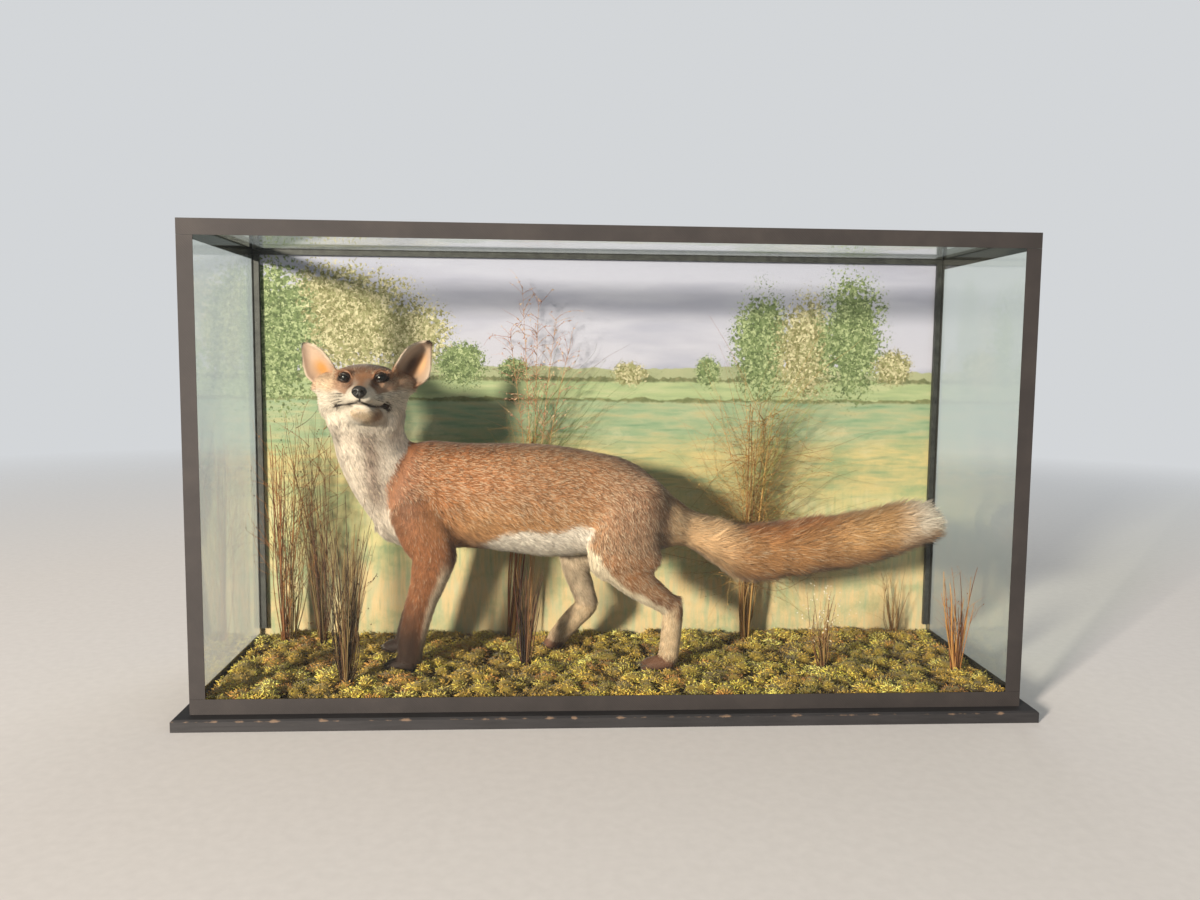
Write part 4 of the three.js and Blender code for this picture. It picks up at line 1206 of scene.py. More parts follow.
def ear_form(side):
    """One ear as a closed thin shell."""
    shape = EARS[side]
    root, length, axis, open_way = ear_axes(shape)
    across = np.cross(axis, open_way)
    rows, columns = 26, 21
    share = np.linspace(0, 1, rows)[:, None]
    offset = np.linspace(-1, 1, columns)[None, :]
    round_tip = np.sqrt(np.clip(1 - ramp(share, 0.86, 1.02) ** 2 * 0.92, 0, 1))
    half = np.interp(share, EAR_SHARES, EAR_WIDTHS) * shape["half"]
    half = np.maximum(half, shape["tip_half"]) / 1000 * round_tip
    cup = 0.75 - 0.35 * share
    outer_side = np.clip(offset * (1 if side == "left" else -1), 0, 1)
    half = half * (1 - outer_side * (0.30 - 0.30 * ramp(share, 0, 0.45)))
    inner_side = np.clip(-offset * (1 if side == "left" else -1), 0, 1)
    half = half * (1 + inner_side * 0.34 * ramp(share, 0.2, 0.8))
    dish = cup * half * offset**2 + 0.15 * half * np.abs(offset) ** 6
    fold = shape["fold"] * length * ramp(share, 0.78, 1.0) ** 2 * 0.35
    centre = root + axis * (share * length)[..., None]
    outer = centre + across * (half * offset)[..., None]
    outer = outer + open_way * (dish + fold - 0.0012)[..., None]
    thick = 0.0036 + 0.003 * fade(share, 0, 0.25) + 0 * offset
    straight = np.cross(np.gradient(outer, axis=1), np.gradient(outer, axis=0))
    straight = unit_way(straight)
    straight *= np.sign((straight @ open_way))[..., None]
    inner = outer + straight * thick[..., None]
    points = np.vstack([inner.reshape(-1, 3), outer.reshape(-1, 3)])
    grid = np.arange(rows * columns).reshape(rows, columns)
    a, b, c, d = grid[:-1, :-1], grid[:-1, 1:], grid[1:, 1:], grid[1:, :-1]
    faces = [np.stack([a, b, c, d], -1).reshape(-1, 4)]
    faces.append(faces[0][:, ::-1] + rows * columns)
    border = np.concatenate([grid[0, :-1], grid[:-1, -1], grid[-1, :0:-1], grid[:0:-1, 0]])
    ahead = np.roll(border, -1)
    back = rows * columns
    faces.append(np.stack([ahead, border, border + back, ahead + back], -1))
    return mesh_from("ear_form_" + side, points, np.vstack(faces))


forms.append(ear_form("left"))
forms.append(ear_form("right"))

skin = made_one(forms, "fox_skin")
melt = skin.modifiers.new("melt", "REMESH")
melt.mode = "VOXEL"
melt.voxel_size = 0.0018
bpy.ops.object.modifier_apply(modifier="melt")
# Fewer faces on the body, where the coat covers the skin, and many on the face, ears and paws.
points = all_points(skin.data)
on_face = ramp(points[:, 2], 0.455, 0.475) * fade(points[:, 0], -0.31, -0.29)
on_paw = fade(points[:, 2], 0.066, 0.076)
detail = np.maximum(on_face, 0.9 * on_paw)
group = skin.vertex_groups.new(name="plain")
for level in range(11):
    chosen = np.nonzero(np.round(detail * 10) == level)[0]
    group.add(chosen.tolist(), 1 - level / 10, "REPLACE")
bpy.ops.object.mode_set(mode="EDIT")
bpy.ops.mesh.select_all(action="SELECT")
bpy.ops.mesh.separate(type="LOOSE")
bpy.ops.object.mode_set(mode="OBJECT")
shells = sorted(bpy.context.selected_objects, key=lambda shell: len(shell.data.vertices))
skin = shells.pop()
for shell in shells:
    bpy.data.objects.remove(shell)
bpy.context.view_layer.objects.active = skin
skin.name = skin.data.name = "fox_skin"
thin = skin.modifiers.new("thin", "DECIMATE")
thin.ratio = 0.33
thin.vertex_group = "plain"
thin.vertex_group_factor = 1.0
bpy.ops.object.modifier_apply(modifier="thin")

# Which part of the fox each point belongs to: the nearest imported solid.
solid_points, solid_faces, solid_parts = [], [], []
for part, name in enumerate(FLESH):
    mesh = nodes[name].data
    offset = len(solid_points)
    solid_points += [vertex.co.copy() for vertex in mesh.vertices]
    solid_faces += [[corner + offset for corner in face.vertices] for face in mesh.polygons]
    solid_parts += [part] * len(mesh.polygons)
solids = BVHTree.FromPolygons(solid_points, solid_faces)
points = all_points(skin.data)
count = len(points)
nearest = np.array([solid_parts[solids.find_nearest(point)[2]] for point in points])
edge_ends = np.zeros(len(skin.data.edges) * 2, np.int32)
skin.data.edges.foreach_get("vertices", edge_ends)
edge_a, edge_b = edge_ends.reshape(-1, 2).T
neighbours = np.bincount(edge_a, minlength=count) + np.bincount(edge_b, minlength=count)


def spread(field, rounds=1):
    """Each point takes the mean of its neighbours' values, a number of times."""
    for _ in range(rounds):
        field = np.stack(
            [
                np.bincount(edge_a, column[edge_b], count) + np.bincount(edge_b, column[edge_a], count)
                for column in field.T
            ],
            1,
        ) / neighbours[:, None]
    return field


# Per part: ease of the smoothing, depth of the coat, length of its hairs, their lift in degrees,
# width and how many stand on a square centimetre. Millimetres.
PARTS = {
    "trunk": (1.0, 6.5, 19, 20, 1.9, 34),
    "neck": (1.0, 5.5, 17, 10, 2.5, 46),
    "head": (0.8, 2.2, 9, 17, 1.4, 52),
    "jaw": (0.8, 2.2, 11, 22, 1.5, 54),
    "ear": (0.9, 0.0, 6, 16, 1.1, 40),
    "foreleg": (0.8, 3.2, 12, 22, 1.6, 34),
    "forepaw": (0.35, 1.4, 6.5, 20, 1.2, 56),
    "thigh": (1.0, 5.5, 17, 20, 1.8, 36),
    "shank": (0.8, 3.6, 13, 21, 1.6, 34),
    "hindfoot": (0.7, 2.6, 10, 20, 1.5, 42),
    "hindpaw": (0.35, 1.4, 6.5, 20, 1.2, 56),
    "tail": (1.0, 18.0, 42, 29, 1.6, 38),
}
kinds = [name.replace("fox_", "").split("_")[0] for name in FLESH]
table = np.array([PARTS[kind] for kind in kinds], float)
ease, depth, hair, lift, width, density = spread(table[nearest], 6).T
belongs = {kind: np.array([other == kind for other in kinds])[nearest].astype(float) for kind in PARTS}
belongs = dict(zip(belongs, spread(np.stack(list(belongs.values()), 1), 7).T))

# The form is smoothed without losing its size, by turns inwards and outwards.
for turn in range(60):
    amount = 0.5 if turn % 2 == 0 else -0.52
    points = points + amount * ease[:, None] * (spread(points) - points)


def melted(points, share, rounds):
    """The points with bumps and creases melted away where the share is 1."""
    for _ in range(rounds):
        points = points + 0.5 * share[:, None] * (spread(points) - points)
    return points


forward, left, up = from_head(points)
on_body = np.clip(belongs["trunk"] + belongs["neck"] + belongs["thigh"] + belongs["tail"], 0, 1)
on_rump = ramp(points[:, 0], 0.02, 0.06) * fade(points[:, 0], 0.17, 0.21)
on_rump = on_rump * ramp(points[:, 2], 0.20, 0.225)
on_cheek = ramp(-forward, -14, 4) * ramp(abs(left), 22, 34) * ramp(-up, -4, 8)
on_cheek = on_cheek * ramp(points[:, 2], 0.41, 0.43) * (1 - belongs["ear"])
on_chin = ramp(-up, 50, 56) * ramp(forward, 0, 12)
points = melted(points, on_body * (1 - on_cheek), 12)
points = melted(points, on_cheek, 70)
on_muzzle = ramp(forward, 4, 12) * fade(forward, 42, 52) * ramp(abs(left), 10, 18)
points = melted(points, np.maximum(np.maximum(on_rump, 0.8 * on_chin), on_muzzle), 16)
put_points(skin.data, points)

# The skin lies under its coat by the depth of the hair.
outward = spread(all_normals(skin.data), 8)
outward = unit_way(outward)
forward, left, up = from_head(points)
muzzle = ramp(forward, 0, 24) * ramp(up, -50, -44)
ruff = (belongs["head"] + belongs["jaw"]) * ramp(-forward, 0, 26) * ramp(abs(left), 30, 56)
ruff = np.clip(ruff, 0, 1) * ramp(-up, 2, 26)
tail_radius = np.interp(
    points[:, 0] * 1000, [96, 130, 222, 430, 516, 546, 568], [32, 34, 46, 46, 44, 34, 22]
)
tail_depth = np.minimum(depth, 0.46 * tail_radius)
depth = np.where(belongs["tail"] > 0.5, tail_depth, depth)
tail_root = belongs["tail"] * fade(points[:, 0], 0.095, 0.19)
depth = depth * (1 - 0.6 * tail_root)
hair = hair * (1 - 0.5 * tail_root)
lift = lift * (1 - 0.35 * tail_root)
depth = depth * (1 - 0.5 * muzzle) + 4.5 * ruff
hair = hair * (1 - 0.5 * muzzle) + 10 * ruff
hair = np.where(muzzle > 0.5, np.minimum(hair, 4.5), hair)
depth, hair, ruff_map = spread(np.stack([depth, hair, ruff], 1), 4).T
points = points - outward * depth[:, None] / 1000
points = melted(points, np.maximum(on_rump, 0.8 * belongs["tail"]), 20)

# Modelling of the face: forward, left, up, reach, then the push along each of the three.
MODELLING = [
    (24, 17, -14, 11, 0, -1.6, 0),
    (12, 22, -8, 10, -1.0, -1.8, -1.0),
    (8, 0, 4, 12, 0, 0, -1.6),
    (40, 0, -8, 14, 0, 0, 0.8),
    (18, 38, -44, 7, -1.5, -2.0, 1.5),
]
for move in MODELLING:
    for side in (1, -1):
        if side == -1 and move[1] == 0:
            continue
        spot = on_head(move[0], side * move[1], move[2])
        share = np.exp(-(((points - spot) ** 2).sum(1)) / (move[3] / 1000) ** 2)[:, None]
        push = move[4] * HEAD_FORWARD + side * move[5] * HEAD_LEFT + np.array([0, 0, move[6]])
        points = points + share * push / 1000

# The line of the mouth, from below the nose round to each corner: forward, aside, height on the
# left and on the right. It makes a groove.
LIP_LINE = [
    (69, 0, -36.0, -36.0), (67, 4, -37.6, -37.6), (63, 9, -40.2, -39.6), (56, 15, -42.8, -41.4),
    (46, 21.5, -44.8, -42.8), (35, 28.5, -46.0, -43.8), (26, 34.5, -46.2, -44.6), (19, 39, -45.4, -45.0),
]
TO_FACE = Vector((-0.21, 0.978, 0))
outer_faces = [tuple(face.vertices) for face in skin.data.polygons]
before_lips = BVHTree.FromPolygons(points.tolist(), outer_faces)
lip_path = []
for side, column in ((1, 2), (-1, 3)):
    path = []
    for row in spline(LIP_LINE, 60):
        point = Vector(on_head(row[0], side * row[1], row[column]))
        hit = before_lips.ray_cast(point - TO_FACE * 0.05, TO_FACE)
        path.append(np.array(hit[0] or point))
    lip_path.append(np.array(path))
groove = np.full(count, 1.0)
near_mouth = np.nonzero((forward > 5) & (up > -70) & (up < -20) & (points[:, 2] > 0.4))[0]
for path in lip_path:
    away = np.linalg.norm(points[near_mouth, None] - path[None], axis=2).min(1)
    groove[near_mouth] = np.minimum(groove[near_mouth], away * 1000 / 30)
cut = hump(groove * 30, 0, 2.4)
points = points - outward * (cut * 0.0022)[:, None]

# Lids: the skin hugs each eye and opens in a slit that rises outwards.
EYE_RADIUS = 9.5
eyes = {}
for side, name in ((1, "left"), (-1, "right")):
    low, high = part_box("fox_eye_" + name)
    centre = np.array((low + high) / 2)
    ahead, aside, above = from_head(centre)
    centre = centre + ((side * 28 - aside) * HEAD_LEFT + 2.0 * HEAD_FORWARD) / 1000
    gaze = HEAD_FORWARD + side * 0.12 * HEAD_LEFT + np.array([0, 0, 0.06])
    gaze = unit_way(gaze)
    slit = side * HEAD_LEFT + np.array([0, 0, 0.30])
    slit = slit - gaze * (slit @ gaze)
    slit = unit_way(slit)
    rise = np.cross(gaze, slit) * -side
    rise = rise * np.sign(rise[2])
    eyes[name] = (centre, gaze, slit, rise)
    # The socket opens out in front of the ball, so that the ball is seen from the sides too.
    away = (points - centre) * 1000
    ahead = away @ gaze
    beside = np.linalg.norm(away - ahead[:, None] * gaze, axis=1)
    allowed = np.where(beside < 9.0, 20.0, 5.2 + (beside - 9.0) * 1.15)
    allowed = np.where(beside < 9.0, np.sqrt(np.clip(11.2**2 - beside**2, 0, None)), allowed)
    excess = np.clip(ahead - allowed, 0, 30) * (beside < 18) * (ahead < 30)
    excess = excess * fade(beside, 15, 18)
    points = points - excess[:, None] * gaze / 1000
    away = (points - centre) * 1000
    reach = np.linalg.norm(away, axis=1)
    along, above, ahead = away @ slit, away @ rise, away @ gaze
    opening = np.where(above > 0, 5.0, 5.2) * np.clip(1 - (along / 9.6) ** 2, 0, 1) ** 0.62
    inside = (abs(above) < opening) & (ahead > 0) & (reach < 20)
    hug = (reach < EYE_RADIUS + 1.5) & ~inside
    unit = away / np.maximum(reach, 1e-6)[:, None]
    points = np.where(hug[:, None], centre + unit * (EYE_RADIUS + 1.5) / 1000, points)
    points = np.where(inside[:, None], centre + unit * (EYE_RADIUS - 2.5) / 1000, points)
put_points(skin.data, points)
outward = all_normals(skin.data)
skin.data.shade_smooth()


# Markings of a red fox: rufous back going grey-brown on the rump, ochre flanks, white bib and belly,
# black-brown stockings, and a brush that is ochre with a dark underside and a cream end, with painted
# shade at the elbow, armpit, throat, rump end, chin, temple and ears, and painted light in the ears.
def markings_and_painted_light(points, belongs):
    """The coat's colour and painted light and shade at points of the skin, as linear red, green and blue."""
    x, y, z = (points * 1000).T
    y = y - MIDDLE_Y
    forward, left, up = from_head(points)
    patchy = soft_noise(points, 0.030, 1) * 7 + soft_noise(points, 0.011, 2) * 4
    back = height_on(BACK_LINE, x, 1)
    belly = height_on(BACK_LINE, x, 2)
    height = (z - belly) / (back - belly) + patchy / 250
    colours = np.tile(linear("#a96f48"), (len(points), 1))
    colours = over(
        colours,
        "#a3724f", ramp(x + patchy, -250, -130),
        "#9a7258", ramp(x + patchy, -60, 60),
        "#93644a", fade(x + patchy, -345, -300) * 0.85,
    )
    low = fade(height, 0.28, 0.66)
    colours = over(
        colours,
        "#ae7e54", low * ramp(x, -330, -220) * fade(x, -60, 10),
        "#844f31", ramp(height, 0.86, 1.02) * fade(x, -260, -100),
    )
    haunch = ramp(x, -60, 0)
    colours = over(colours, "#94735a", haunch * fade(z, 240, 330) * 0.8)
    # White belly, below a line that rises towards the thigh.
    belly_line = np.interp(x, [-250, -211, -152, -74, -50, 0, 60], [244, 268, 277, 283, 290, 262, 250])
    on_belly = fade(z + patchy, belly_line - 5, belly_line + 6)
    on_belly = on_belly * ramp(x + patchy, -238, -200) * fade(x, 60, 100)
    colours = over(colours, "#ddcfc2", on_belly * np.maximum(belongs["trunk"], 0.0) * 1.3)
    # Painted shade behind the near elbow.
    elbow_shade = hump(x, -226, 15) * hump(z, 243, 15) * (y < 0)
    colours = over(colours, "#4b3224", elbow_shade * 0.85)
    # White bib: in front of a line that runs down the neck and over the breast.
    bib_line = np.interp(
        z, [236, 241, 290, 313, 325, 365, 399, 435, 470, 500],
        [-330, -331, -340, -352, -380, -378, -361, -336, -330, -330],
    )
    far_line = np.where(y > 0, bib_line - 10, bib_line)
    front = fade(x + patchy * 0.8, far_line - 5, far_line + 6)
    body_front = belongs["trunk"] + belongs["neck"] + belongs["head"] + belongs["jaw"]
    nape = ramp(y, 20, 58) * ramp(x, -440, -400)
    nape = np.maximum(nape, ramp(x, -352, -334) * ramp(y, -20, 15))
    colours = over(colours, "#cfbfb1", front * np.clip(body_front * 1.4, 0, 1) * (1 - nape))
    # Painted shade down the middle of the throat, where the head's shadow falls.
    throat_shade_at = np.interp(z, [365, 410, 455], [-397, -402, -416])
    throat_shade = hump(x - throat_shade_at + patchy, 0, 17) * ramp(z, 300, 345)
    throat_shade = throat_shade * fade(z, 440, 462)
    colours = over(colours, "#7d6a5f", throat_shade * (y < 0) * 0.9 * belongs["neck"])
    on_neck = belongs["neck"] * nape
    colours = over(colours, "#9c6038", on_neck)
    # Legs: rufous above, black-brown stockings in front, pale behind.
    foreleg = np.clip(belongs["foreleg"] * 1.5, 0, 1)
    near = y < 0
    middle_x = np.interp(z, [58, 92, 130, 168, 204, 240, 280], [-340, -335, -329, -318, -304, -297, -312])
    middle_x = np.where(near, middle_x, middle_x - np.interp(z, [58, 100, 160, 240], [23, 15, 5, 4]))
    ahead = middle_x - x
    stocking = fade(z + patchy, 85, 215)
    colours = over(
        colours,
        "#9b6340", foreleg * fade(z, 240, 320),
        "#3a251c", foreleg * stocking * ramp(ahead, -22, -4) * 0.95,
        "#7b4a31", foreleg * stocking * fade(ahead, -20, -8) * 0.8,
    )
    behind = fade(ahead, -21, -12) * fade(z, 205, 240)
    colours = over(
        colours,
        "#cdb59c", foreleg * behind,
        "#3b2a22", foreleg * fade(z + patchy, 70, 130) * 0.8,
    )
    # Painted shade in the armpit.
    armpit_shade = foreleg * ramp(x, -280, -258) * ramp(z, 215, 240) * fade(z, 262, 290)
    colours = over(colours, "#5a3d2b", armpit_shade)
    shank = np.clip((belongs["shank"] + belongs["thigh"]) * 1.3, 0, 1)
    shank_line = np.interp(z, [60, 150, 165, 190, 226, 260, 297], [90, 86, 60, 22, -14, -38, -52])
    ahead = shank_line - x
    below_thigh = fade(z, 215, 262)
    colours = over(
        colours,
        "#9b6741", shank * below_thigh * near,
        "#7e5239", shank * near * fade(z, 155, 185) * 0.8,
    )
    pale_front = ramp(ahead + patchy, -9, 0) * fade(z, 285, 300)
    colours = over(
        colours,
        "#e0cdb3", shank * near * pale_front,
        "#cdb49a", shank * ~near * fade(z, 235, 275),
    )
    hindfoot = np.clip(belongs["hindfoot"] * 1.4, 0, 1)
    colours = over(
        colours,
        "#cdb08f", hindfoot,
        "#8c6244", hindfoot * near * ramp(x, 106, 120) * ramp(z, 120, 145),
        "#8a6549", hindfoot * fade(z + patchy, 52, 82) * near,
        "#b3957a", hindfoot * fade(z + patchy, 60, 90) * ~near,
        "#2e1f19", np.clip(belongs["forepaw"] * 1.4, 0, 1),
        "#6d4b39", np.clip(belongs["hindpaw"] * 1.4, 0, 1),
    )
    toes = np.clip(belongs["hindpaw"] * 1.4, 0, 1) * fade(z + patchy, 40, 54)
    colours = over(colours, "#5a4034", toes)
    # Brush.
    rump_end = ramp(x, 88, 106) * ramp(z, 222, 234)
    # Painted shade on the end of the rump, in the crease before the brush.
    colours = over(colours, "#6b503d", ramp(x, 44, 88) * ramp(z, 215, 260) * 0.75)
    tail = np.clip(np.maximum(belongs["tail"] * 1.4, rump_end), 0, 1)
    top = height_on(TAIL_LINE, x, 1)
    under = height_on(TAIL_LINE, x, 2)
    rise = (z - under) / (top - under) + patchy / 150
    brush = np.tile(linear("#a1734a"), (len(points), 1))
    brush = over(
        brush,
        "#ac6a3d", ramp(rise, 0.62, 0.9) * ramp(x, 150, 230),
        "#cfa67d", fade(x, 165, 240) * fade(rise, 0.75, 1.0),
        "#7d583b", fade(x, 130, 180) * ramp(rise, 0.78, 1.0),
        "#6b4636", fade(rise, 0.06, 0.32) * ramp(x, 190, 270) * 0.85,
        "#c09566", ramp(x, 330, 440) * ramp(rise, 0.25, 0.6) * 0.85,
        "#e5d4c2", ramp(x + patchy, 475, 540) * ramp(rise, 0.2, 0.55),
        "#8d6b50", fade(x + patchy * 0.6, 88, 104),
    )
    colours = colours * (1 - tail[:, None]) + brush * tail[:, None]
    # Head: rufous crown and cheeks, white lips, cheeks and chin.
    head = np.clip((belongs["head"] + belongs["jaw"]) * 1.5, 0, 1)
    crown = ramp(up + patchy * 0.4, -14, 2) * fade(forward, 20, 34)
    back_head = fade(forward, -62, -48)
    face = np.tile(linear("#d0c2b4"), (len(points), 1))
    face = over(
        face,
        "#8f6349", crown,
        "#9c6844", back_head * ramp(up, -50, -20),
        "#6d4636", ramp(up + patchy * 0.3, 7, 17) * ramp(-forward, 5, 26) * 0.85,
    )
    bridge = hump(left, 0, 12) * ramp(forward, -12, 4) * ramp(up, -33, -20)
    bridge = bridge * fade(forward, 52, 64)
    face = over(face, "#95694c", bridge * 0.95)
    cheek_line = -27 + 0.30 * (abs(left) - 30) + patchy * 0.25
    side = ramp(abs(left), 11, 18)
    patch = side * fade(forward, 30, 46) * ramp(up, cheek_line - 2, cheek_line + 5)
    patch = patch * fade(up, -2, 5) * fade(abs(left), 46, 60)
    face = over(face, "#936a50", patch * 0.85)
    tear = hump(abs(left) - 20 + 0.1 * forward, 0, 6.5) * ramp(forward, -4, 8)
    tear = tear * fade(forward, 30, 44) * ramp(up, -27, -15)
    tear = tear * fade(up, -3, 3)
    face = over(face, "#5a3a2a", tear * 0.85)
    # Tan temples, painted paler on the side towards the lamp and darker on the far side as light and shade.
    temple = ramp(abs(left), 40, 50) * ramp(up + patchy * 0.5, -26, -14)
    face = over(
        face,
        "#c6a78b", temple * (1 - back_head) * (left < 0) * 0.85,
        "#a97c5c", temple * (1 - back_head) * (left > 0) * 0.8,
    )
    # A tan chin, with painted shade on the side away from the lamp.
    chin = ramp(-up, 46, 52) * ramp(forward, 14, 30)
    face = over(
        face,
        "#d2b699", chin,
        "#8d6b56", chin * ramp(left + patchy * 0.3, 10, 22) * 0.85,
        "#3a2a24", hump(groove * 30, 0, 2.6),
    )
    for path, blot in zip(lip_path, (8.0, 5.5)):
        corner_away = np.linalg.norm(points - path[-2], axis=1) * 1000
        face = over(face, "#2f211c", fade(corner_away + patchy * 0.15, blot - 1, blot + 1.5))
    for name in ("left", "right"):
        centre, gaze, slit, rise_way = eyes[name]
        away = (points - centre) * 1000
        outer = np.clip(away @ slit, 0, None) * (0.28 if name == "left" else 0.08)
        ring = np.sqrt(np.clip((away**2).sum(1) + 0.3 * (away @ rise_way) ** 2 - outer * 12, 0, None))
        face = over(face, "#2a1d18", fade(ring, 11.4, 13.6))
    colours = colours * (1 - head[:, None]) + face * head[:, None]
    # Ears: black-brown backs, cream hair inside with a bare hollow. On the ear nearer the lamp the hollow
    # is painted warm orange as light shining through; the other ear has painted shade and highlight.
    ears = np.clip(belongs["ear"] * 1.6, 0, 1)
    inside = np.clip(ear_open * 3, 0, 1)
    colour_back = over(np.tile(linear("#3f2d25"), (len(points), 1)), "#96603c", fade(z, 536, 556))
    # Painted glow of light through the hollow of the ear nearer the lamp.
    colour_in = over(np.tile(linear("#c9ab97"), (len(points), 1)), "#c38b4e", ear_glow * (left < 0) * 1.15)
    # On the ear away from the lamp: painted shade across the inside, deep in the hollow and at the top, and
    # a painted highlight streak where light shines through.
    on_left = (left > 0).astype(float)
    deep = hump(ear_off + 0.12 + patchy * 0.01, 0, 0.30)
    deep = deep * hump(ear_along - 0.40 + patchy * 0.006, 0, 0.30)
    colour_in = over(colour_in, "#9c8370", on_left * hump(ear_off, 0.1, 0.9) * 0.9)
    ridge = on_left * hump(ear_off, 0.18, 0.22) * ramp(ear_along, 0.1, 0.3)
    colour_in = over(
        colour_in,
        "#9a6a48", ridge * fade(ear_along, 0.65, 0.85),
        "#5c4336", on_left * np.clip(deep * 1.15, 0, 1),
    )
    streak = hump(ear_off, 0.48, 0.16) * hump(ear_along, 0.55, 0.20)
    colour_in = over(
        colour_in,
        "#e0ab7c", on_left * streak,
        "#8a5d40", fade(ear_along, 0.10, 0.30) * 0.85,
        "#4b372c", on_left * ramp(ear_along, 0.86, 0.97),
    )
    ear_rim = ramp(abs(ear_off), 0.72, 0.95) * ramp(ear_along, 0.12, 0.3)
    colour_in = over(colour_in, "#cdb7a4", ear_rim * 0.9)
    ear_colour = colour_back * (1 - inside[:, None]) + colour_in * inside[:, None]
    colours = colours * (1 - ears[:, None]) + ear_colour * ears[:, None]
    return colours


# Where on each ear a point is: its inside or its back, and how deep in the hollow for the painted glow.
ear_open = np.zeros(count)
ear_along = np.zeros(count)
ear_off = np.zeros(count)
ear_glow = np.zeros(count)
ear_way = np.zeros((count, 3))
for name, shape in EARS.items():
    side = 1 if name == "left" else -1
    root, length, axis, open_way = ear_axes(shape)
    mine = (left * side > 0) & (belongs["ear"] > 0.02)
    ear_open[mine] = (outward @ open_way)[mine]
    along = ((points - root) @ axis) / length
    off = (points - root) @ np.cross(axis, open_way) * 1000
    off = off * np.sign(np.cross(axis, open_way) @ HEAD_LEFT)
    ear_along[mine] = along[mine]
    own_half = np.maximum(np.interp(along, EAR_SHARES, EAR_WIDTHS) * shape["half"], shape["tip_half"])
    ear_off[mine] = (off / own_half)[mine]
    hollow = hump(off, 0, 0.40 * shape["half"]) * hump(along, 0.36, 0.2)
    ear_glow[mine] = hollow[mine]
    ear_way[mine] = axis

coat_colour = markings_and_painted_light(points, belongs)
back_of = height_on(BACK_LINE, points[:, 0] * 1000, 1)
belly_of = height_on(BACK_LINE, points[:, 0] * 1000, 2)
height_on_body = (points[:, 2] * 1000 - belly_of) / (back_of - belly_of)
coat_layer = skin.data.color_attributes.new("coat", "FLOAT_COLOR", "POINT")
shade = np.hstack([coat_colour * 0.88, np.ones((count, 1))])
coat_layer.data.foreach_set("color", shade.astype(np.float32).reshape(-1))
skin.data.color_attributes.active_color = coat_layer

# The lie of the hair at each point: back along the body, down the throat and the legs, away from the
# nose over the head, out along the ears and the brush.
x, y, z = (points * 1000).T
side = np.sign(y - MIDDLE_Y)
ways = {
    "trunk": np.stack([np.ones(count), 0.05 * side, -0.35 - 0.2 * (z < 330)], 1),
    "neck": np.stack([0.35 + 0.4 * ramp(x, -400, -340), 0 * x, -np.ones(count)], 1),
    "head": points - on_head(72, 0, -20) + np.array([0, 0.004, -0.004]),
    "jaw": points - on_head(62, 0, -38) + np.array([0, 0.006, -0.01]),
    "ear": ear_way + 0.0001,
    "foreleg": np.stack([0.12 * np.ones(count), 0 * x, -np.ones(count)], 1),
    "forepaw": np.tile([-1.0, 0, -0.55], (count, 1)),
    "thigh": np.stack([0.45 * np.ones(count), 0 * x, -np.ones(count)], 1),
    "shank": np.stack([0.55 * np.ones(count), 0 * x, -0.8 * np.ones(count)], 1),
    "hindfoot": np.tile([0.0, 0, -1.0], (count, 1)),
    "hindpaw": np.tile([-1.0, 0, -0.55], (count, 1)),
    "tail": np.stack([np.ones(count), 0 * x, 0.04 * np.ones(count)], 1),
}
lie = 0
for kind, way in ways.items():
    way = unit_way(way)
    lie = lie + way * belongs[kind][:, None]
swirl = soft_noise(points, 0.045, 5)[:, None] * 0.28
lie = lie + np.cross(outward, lie) * swirl
lie = lie - outward * (lie * outward).sum(1)[:, None]
lie /= np.linalg.norm(lie, axis=1)[:, None] + 1e-9

# An unwrap of the skin, which the coat's own maps follow.
bpy.ops.object.select_all(action="DESELECT")
skin.select_set(True)
bpy.context.view_layer.objects.active = skin
bpy.ops.object.mode_set(mode="EDIT")
bpy.ops.mesh.select_all(action="SELECT")
bpy.ops.mesh.quads_convert_to_tris()
bpy.ops.uv.smart_project(angle_limit=1.15, island_margin=0.002)
bpy.ops.object.mode_set(mode="OBJECT")
skin.data.uv_layers[0].name = "OFBake"

hide, shader = start_material("tanned_skin_with_short_fur", Roughness=0.75, Specular_IOR_Level=0.2)
place = add(hide, "TexCoord")
paint = add(hide, "VertexColor", layer_name="coat")
fuzz = noise(hide, (place, "Object"), 900, 3)
flecks = add(hide, "MapRange", {"To Min": 0.72, "To Max": 1.15}, {"Value": fuzz})
tone = add(hide, "VectorMath", {}, {0: paint, 1: flecks}, operation="MULTIPLY")
join(hide, tone, "Vector", shader, "Base Color")
emboss(hide, shader, 0.5, 0.0006, fuzz)
skin.data.materials.clear()
skin.data.materials.append(hide)
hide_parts(*FLESH)
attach(skin, "root")

# ---- Fox: coat ----
# Winter fur: dense soft underfur with longer guard hairs that lie back along the body. Each tuft is
# a thin curved lock of a few hairs, dark at the root and paler at the tip, set in the skin.
corner_points = np.zeros(len(skin.data.loops), np.int32)
skin.data.loops.foreach_get("vertex_index", corner_points)
triangles = corner_points.reshape(-1, 3)
unwrap = np.zeros(len(skin.data.loops) * 2, np.float32)
skin.data.uv_layers["OFBake"].uv.foreach_get("vector", unwrap)
triangle_unwrap = unwrap.reshape(-1, 3, 2)
triangle_area = np.linalg.norm(
    np.cross(
        points[triangles[:, 1]] - points[triangles[:, 0]],
        points[triangles[:, 2]] - points[triangles[:, 0]],
    ),
    axis=1,
) / 2


